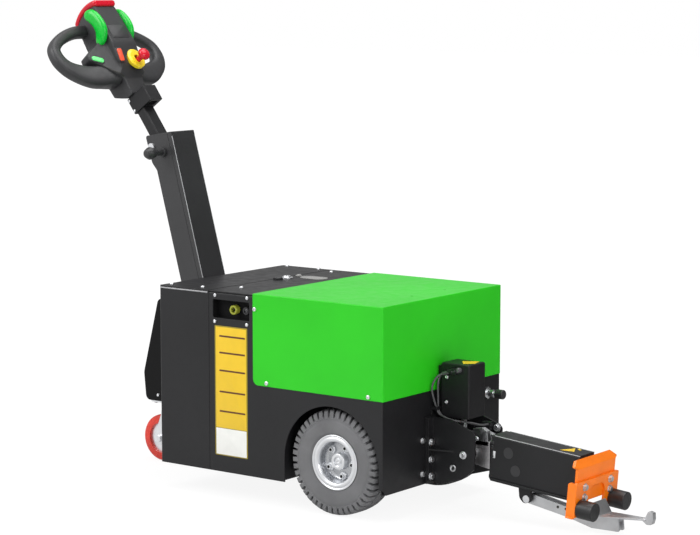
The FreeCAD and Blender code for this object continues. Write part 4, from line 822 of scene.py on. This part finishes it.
build("name_plate", [on_head(tile(41, 66, 4, -1.5, 0.9, 0.5), 1133, 1),
                     on_head(tile(34, 58, 3, 0.8, 1.3, 0.4), 1133, 1)], "tiller", "dark_plastic")
build("rocker_frame", [on_head(tile(42, 24, 5, -4, 2.2, 0.8), 1063, -32)], "tiller", "dark_plastic")
made = build("rocker_key", [on_head(tile(35, 16.5, 4.4, -2, 4.6, 1.6), 1063, -32)], "tiller", "red_plastic",
             lens_orange)
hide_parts("rocker_switch")
build("ear_switch_frame", [on_head(tile(20, 42, 8, -3, 1.8, 0.8), 1072, -84, -28)], "tiller", "dark_plastic")
build("ear_switch_key", [on_head(tile(14, 35, 6.8, -2, 3.8, 1.4), 1072, -84, -28)], "tiller", "green_plastic",
      lens_green)
mushroom = rings([(-18, 7.5), (15, 7.5), (15.2, 14), (16.5, 16), (20, 17), (24.5, 16.6), (28.5, 14),
                  (31.4, 9.6), (32.8, 4.6), (33, 0.5)], 48)
made = build("stop_mushroom", put(mushroom, [(1042, 20, 381)], top, **on_tiller), "tiller", "red_plastic",
             smooth_under=50)
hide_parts("stop_button")

# %% [markdown]
# The head's two shells meet in a seam that runs from each grip down to the clamp. It is a fine dark cord, half
# sunk in the surface, along a few places that are found as the switches' were.

# %% Seams and clamp screws
seam_radius = 0.75


def tube(points, radius, off):
    """Round tube along points in metres; off is a direction that the path never follows."""
    points = np.asarray(points)
    along = np.gradient(points, axis=0)
    side = unit(np.cross(along, off))
    lift = unit(np.cross(side, along))
    t = (np.arange(8) * math.pi / 4)[None, :, None]
    return points[:, None] + radius / 1000 * (np.cos(t) * side[:, None] + np.sin(t) * lift[:, None])


def seam_on_head(places, steps=8):
    """Tube on the surface through places (up, across), straight between them in plan."""
    share = np.linspace(0, len(places) - 1, (len(places) - 1) * steps + 1)
    up, across = (np.interp(share, np.arange(len(places)), values) for values in np.array(places, float).T)
    met = [on_head(np.zeros((1, 1, 3)), *place) for place in zip(up, across)]
    return tube([spot[0, 0] for spot in met if spot is not None], seam_radius, head_ways[2])


half_seam = [(1084, 104), (1058, 80), (1024, 55), (1005, 33)]
build("head_seams", [seam_on_head([(up, side * across) for up, across in half_seam]) for side in (-1, 1)],
      "tiller", "dark_plastic", seam_dark_and_hole_shade)
build("clamp_screws", both_sides(button(4.8), [(950, 24, 317), (919, 24, 318)], **on_tiller), "tiller",
      "zinc_steel")

# %% [markdown]
# Two thin cables run from the actuator's case and from its bracket, through the clip on the left strip, under
# the case and into the switch on the right cheek. Each follows one smooth curve through chosen places, and
# both ends go into something.

# %% Cables at the hitch
cable_grey = plain("cable sheath", (84, 84, 86), (0.3, 0.4))


def cable(name, points, length):
    """A round sheath along one smooth curve that the points guide; its length is in metres."""
    curve = bpy.data.curves.new(name, "CURVE")
    curve.dimensions = "3D"
    spline = curve.splines.new("NURBS")
    spline.points.add(len(points) - 1)
    for point, place in zip(spline.points, lay(points)):
        point.co = (*place, 1)
    spline.order_u = 3
    spline.use_endpoint_u = True
    curve.resolution_u = 12
    curve.bevel_depth = 0.0025
    curve.bevel_resolution = 4
    curve.materials.append(cable_grey)
    made = bpy.data.objects.new(name + "_line", curve)
    into_scene(made)
    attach(made, "chassis")
    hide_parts(name)
    print(made.name, "length", length, "m over", len(points), "points")


cable("cable_case", [(738, -44, 337), (722, -45.5, 333), (709, -54, 322), (704.8, -65, 298), (705.5, -55, 270),
                     (706.5, -43.5, 247), (711, -43, 233), (731, -43, 226), (754, -39, 220), (776, -14, 216.5),
                     (793, 11, 204), (793, 38, 203)], 0.264)
cable("cable_body", [(706, -26, 322), (706, -36, 318), (706, -39, 296), (706.5, -38, 270), (706.5, -38, 247),
                     (713, -39, 232), (732, -41, 223.5), (757, -30, 217), (781, -6, 214.5), (801, 13, 205.5),
                     (801, 38, 205.5)], 0.229)

# %% [markdown]
# Small blank labels lie on the actuator's case and on the arm. They aren't rectangles, so each is a polygon
# given at two heights. The upper cable leaves its case through a ribbed sleeve and a round plug.

# %% Labels and cable sleeve
def slab(corners, low, high):
    """The polygon at two heights along the third direction."""
    return np.array([[(*corner, height) for corner in corners] for height in (low, high)], float)


build("case_label", [lay(slab([(745, 8), (768, -22), (790, -4), (780, 30)], 357.7, 358.5))],
      "chassis", "yellow_plastic", label_yellow)
arm_labels = ([(182, -20), (213, -8), (198, 22)], [(204, 20), (216, 12), (217, 18), (206, 28)])
build("arm_label", [lay(slab(corners, 103.7, 104.6), **on_beam) for corners in arm_labels], "tow_arm",
      "yellow_plastic", label_yellow)
rib = np.arange(21)
sleeve = rings(np.stack([rib * 2.0, 3.9 + 0.55 * (rib % 2)], -1), 20)
sleeve_plug = rings([(-1, 6.2), (9, 6.2), (11.4, 4.8), (12.2, 0.5)], 24)
build("cable_sleeve", put(sleeve, [(763, -44, 343.6)], (-40, 0, -10.5))
      + put(sleeve_plug, [(767, -35, 344.6)], left), "chassis", "buffer_rubber", cable_grey)

# %% [markdown]
# The machined block between the hinge and the arm is a few simple bodies that run into each other, as it was
# milled from bar: a squared body, a boss round the hinge, and a lever with a round eye for the lift rod. Two
# steel lugs are screwed to its top.

# %% Knuckle of the tow arm
def upright(corners, low, high):
    """The polygon in the upright middle plane, carried sideways from low to high."""
    return slab(corners, low, high)[:, :, [0, 2, 1]]


def disc(x, z, radius, low, high):
    """Round bar from side to side at x and z of the upright middle plane."""
    turn = np.arange(40) * math.pi / 20
    return upright(np.stack([x + radius * np.cos(turn), z + radius * np.sin(turn)], -1).tolist(), low, high)


half_block, half_lever = 28, 6  # half widths
hinge_x, hinge_z, eye_x, eye_z = 796, 146, 757, 150.1
block = [upright([(809.7, 176.5), (850, 178.3), (850, 112), (806.2, 119.9)], -half_block, half_block),
         upright([(796, 162), (812, 172), (812, 122), (796, 130)], -27.5, 27.5),
         disc(hinge_x, hinge_z, 16, -half_block, half_block),
         upright([(796, 160), (757, 161.1), (757, 139.1), (796, 132)], -half_lever, half_lever),
         disc(eye_x, eye_z, 11, -half_lever, half_lever), disc(eye_x, eye_z, 5, -19, 19)]
made = build("knuckle_block", [lay(part) for part in block], "tow_arm", "bare_aluminium", smooth_under=20)
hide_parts("knuckle")
tall_lug = [(797, 168), (797, 197), (803, 206), (828, 210), (842, 203), (846, 168)]
low_lug = [(791, 168), (793, 187), (810, 194), (831, 186), (834, 168)]
build("knuckle_lugs", [lay(upright(tall_lug, -half_block, -15)), lay(upright(low_lug, 14, half_block))],
      "tow_arm", "zinc_steel")

# %% [markdown]
# The hinge bolt goes through both cheeks and the knuckle, with a spacer each side. Beside it, the arm's wall
# shows a small bright tab and two dark screws.

# %% Hinge bolt and the arm's small fittings
hinge_middle = [(hinge_x, 0, hinge_z)]
spacer = rings([(28.4, 13), (56.2, 13)], 32)
made = build("hinge_bolt", put(rings([(-62, 8), (62, 8)], 32), hinge_middle, left)
             + both_sides(spacer, hinge_middle), "chassis", "zinc_steel")
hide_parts("lift_pin")
build("arm_tab", put(tile(7, 17, 1, -0.4, 1.0), [(10, -33, 58)], left, **on_beam), "tow_arm", "zinc_steel")
build("arm_screws", put(button(4.4), [(4, -33, 76), (4, -33, 86)], left, **on_beam), "tow_arm", "dark_plastic")

# %% [markdown]
# Thin light grey rods half sunk in the edges of the column, the arm and the nose's bent sheet are painted
# highlights: they stand for the light that these edges catch. The nose's own cover ends in a dark joint.

# %% Painted edge highlights and the cover's joint
build("cover_joint", [lay(slab([(160.6, -panel), (163, -panel), (163, panel), (160.6, panel)], 511.6, 512.25))],
      "chassis", "black_coat", tray_black)
# painted highlight: each pair of light grey rods below is a bright line where an edge catches the light
for name, body, local, length, radius, steps, (x, y, z) in (
        ("column_edges", "chassis", on_column, 470, 1.0, 12, (4, 44.4, -0.6)),
        ("arm_edges", "tow_arm", on_beam, 236, 1.0, 12, (8, 32.4, 103.4)),
        ("bent_edges", "chassis", {}, 154, 1.9, 16, (4, 248.1, 506.5))):
    rod = rings([(0, radius), (length, radius)], steps)
    build(name, put(rod, [(x, -y, z), (x, y, z)], tow, **local), body, "black_coat", edge_highlight_paint)

# %% [markdown]
# The castor's tread is a ring of soft red rubber on its rim: a section with rounded shoulders, turned about
# the castor's axle.

# %% Castor tread
castor_section = [(-19, 40), (-19, 54), (-17.2, 58.5), (-13, 61.4), (-7, 62.5), (7, 62.5), (13, 61.4),
                  (17.2, 58.5), (19, 54), (19, 40)]
made = build("castor_tread_ring", put(rings(castor_section, 72), [(-206, 0, 57.5)], left), "castor_wheel",
             "castor_tread", smooth_under=50, ring_rows=True)
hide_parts("castor_tyre")

# %% [markdown]
# Last come the release knob's sleeve on the end panel, the round plugs in the arm's sides, and thin dark
# discs on the hook's lever, painted shade where its two holes are.

# %% Release sleeve, plugs and painted shade in the lever's holes
knob_sleeve = rings([(0, 12, 1), (8.8, 13.3, 1), (9.3, 12.4), (9.4, 9.4), (26.4, 9.4), (26.6, 6.2), (32, 6.2)])
build("release_sleeve", put(knob_sleeve, [(695, 186, 250)], tow), "chassis", "zinc_steel")
plug = rings([(-1, 13.5), (0.5, 13.5), (0.6, 12.2), (0.2, 8), (0.15, .5)])
build("arm_plugs", both_sides(plug, [(906, 33, 159), (926, 33, 118)]), "tow_arm", "dark_plastic")
# painted shade: thin dark discs on the lever stand for the shade in its two holes
hole_shade_disc = rings([(-1, 3.4), (0.25, 3.4), (0.3, 3.2), (0.3, .3)])
build("lever_holes", put(hole_shade_disc, [(1032, -12.5, 43), (1054, -12.5, 41)], left), "tow_hook", "dark_plastic",
      seam_dark_and_hole_shade)
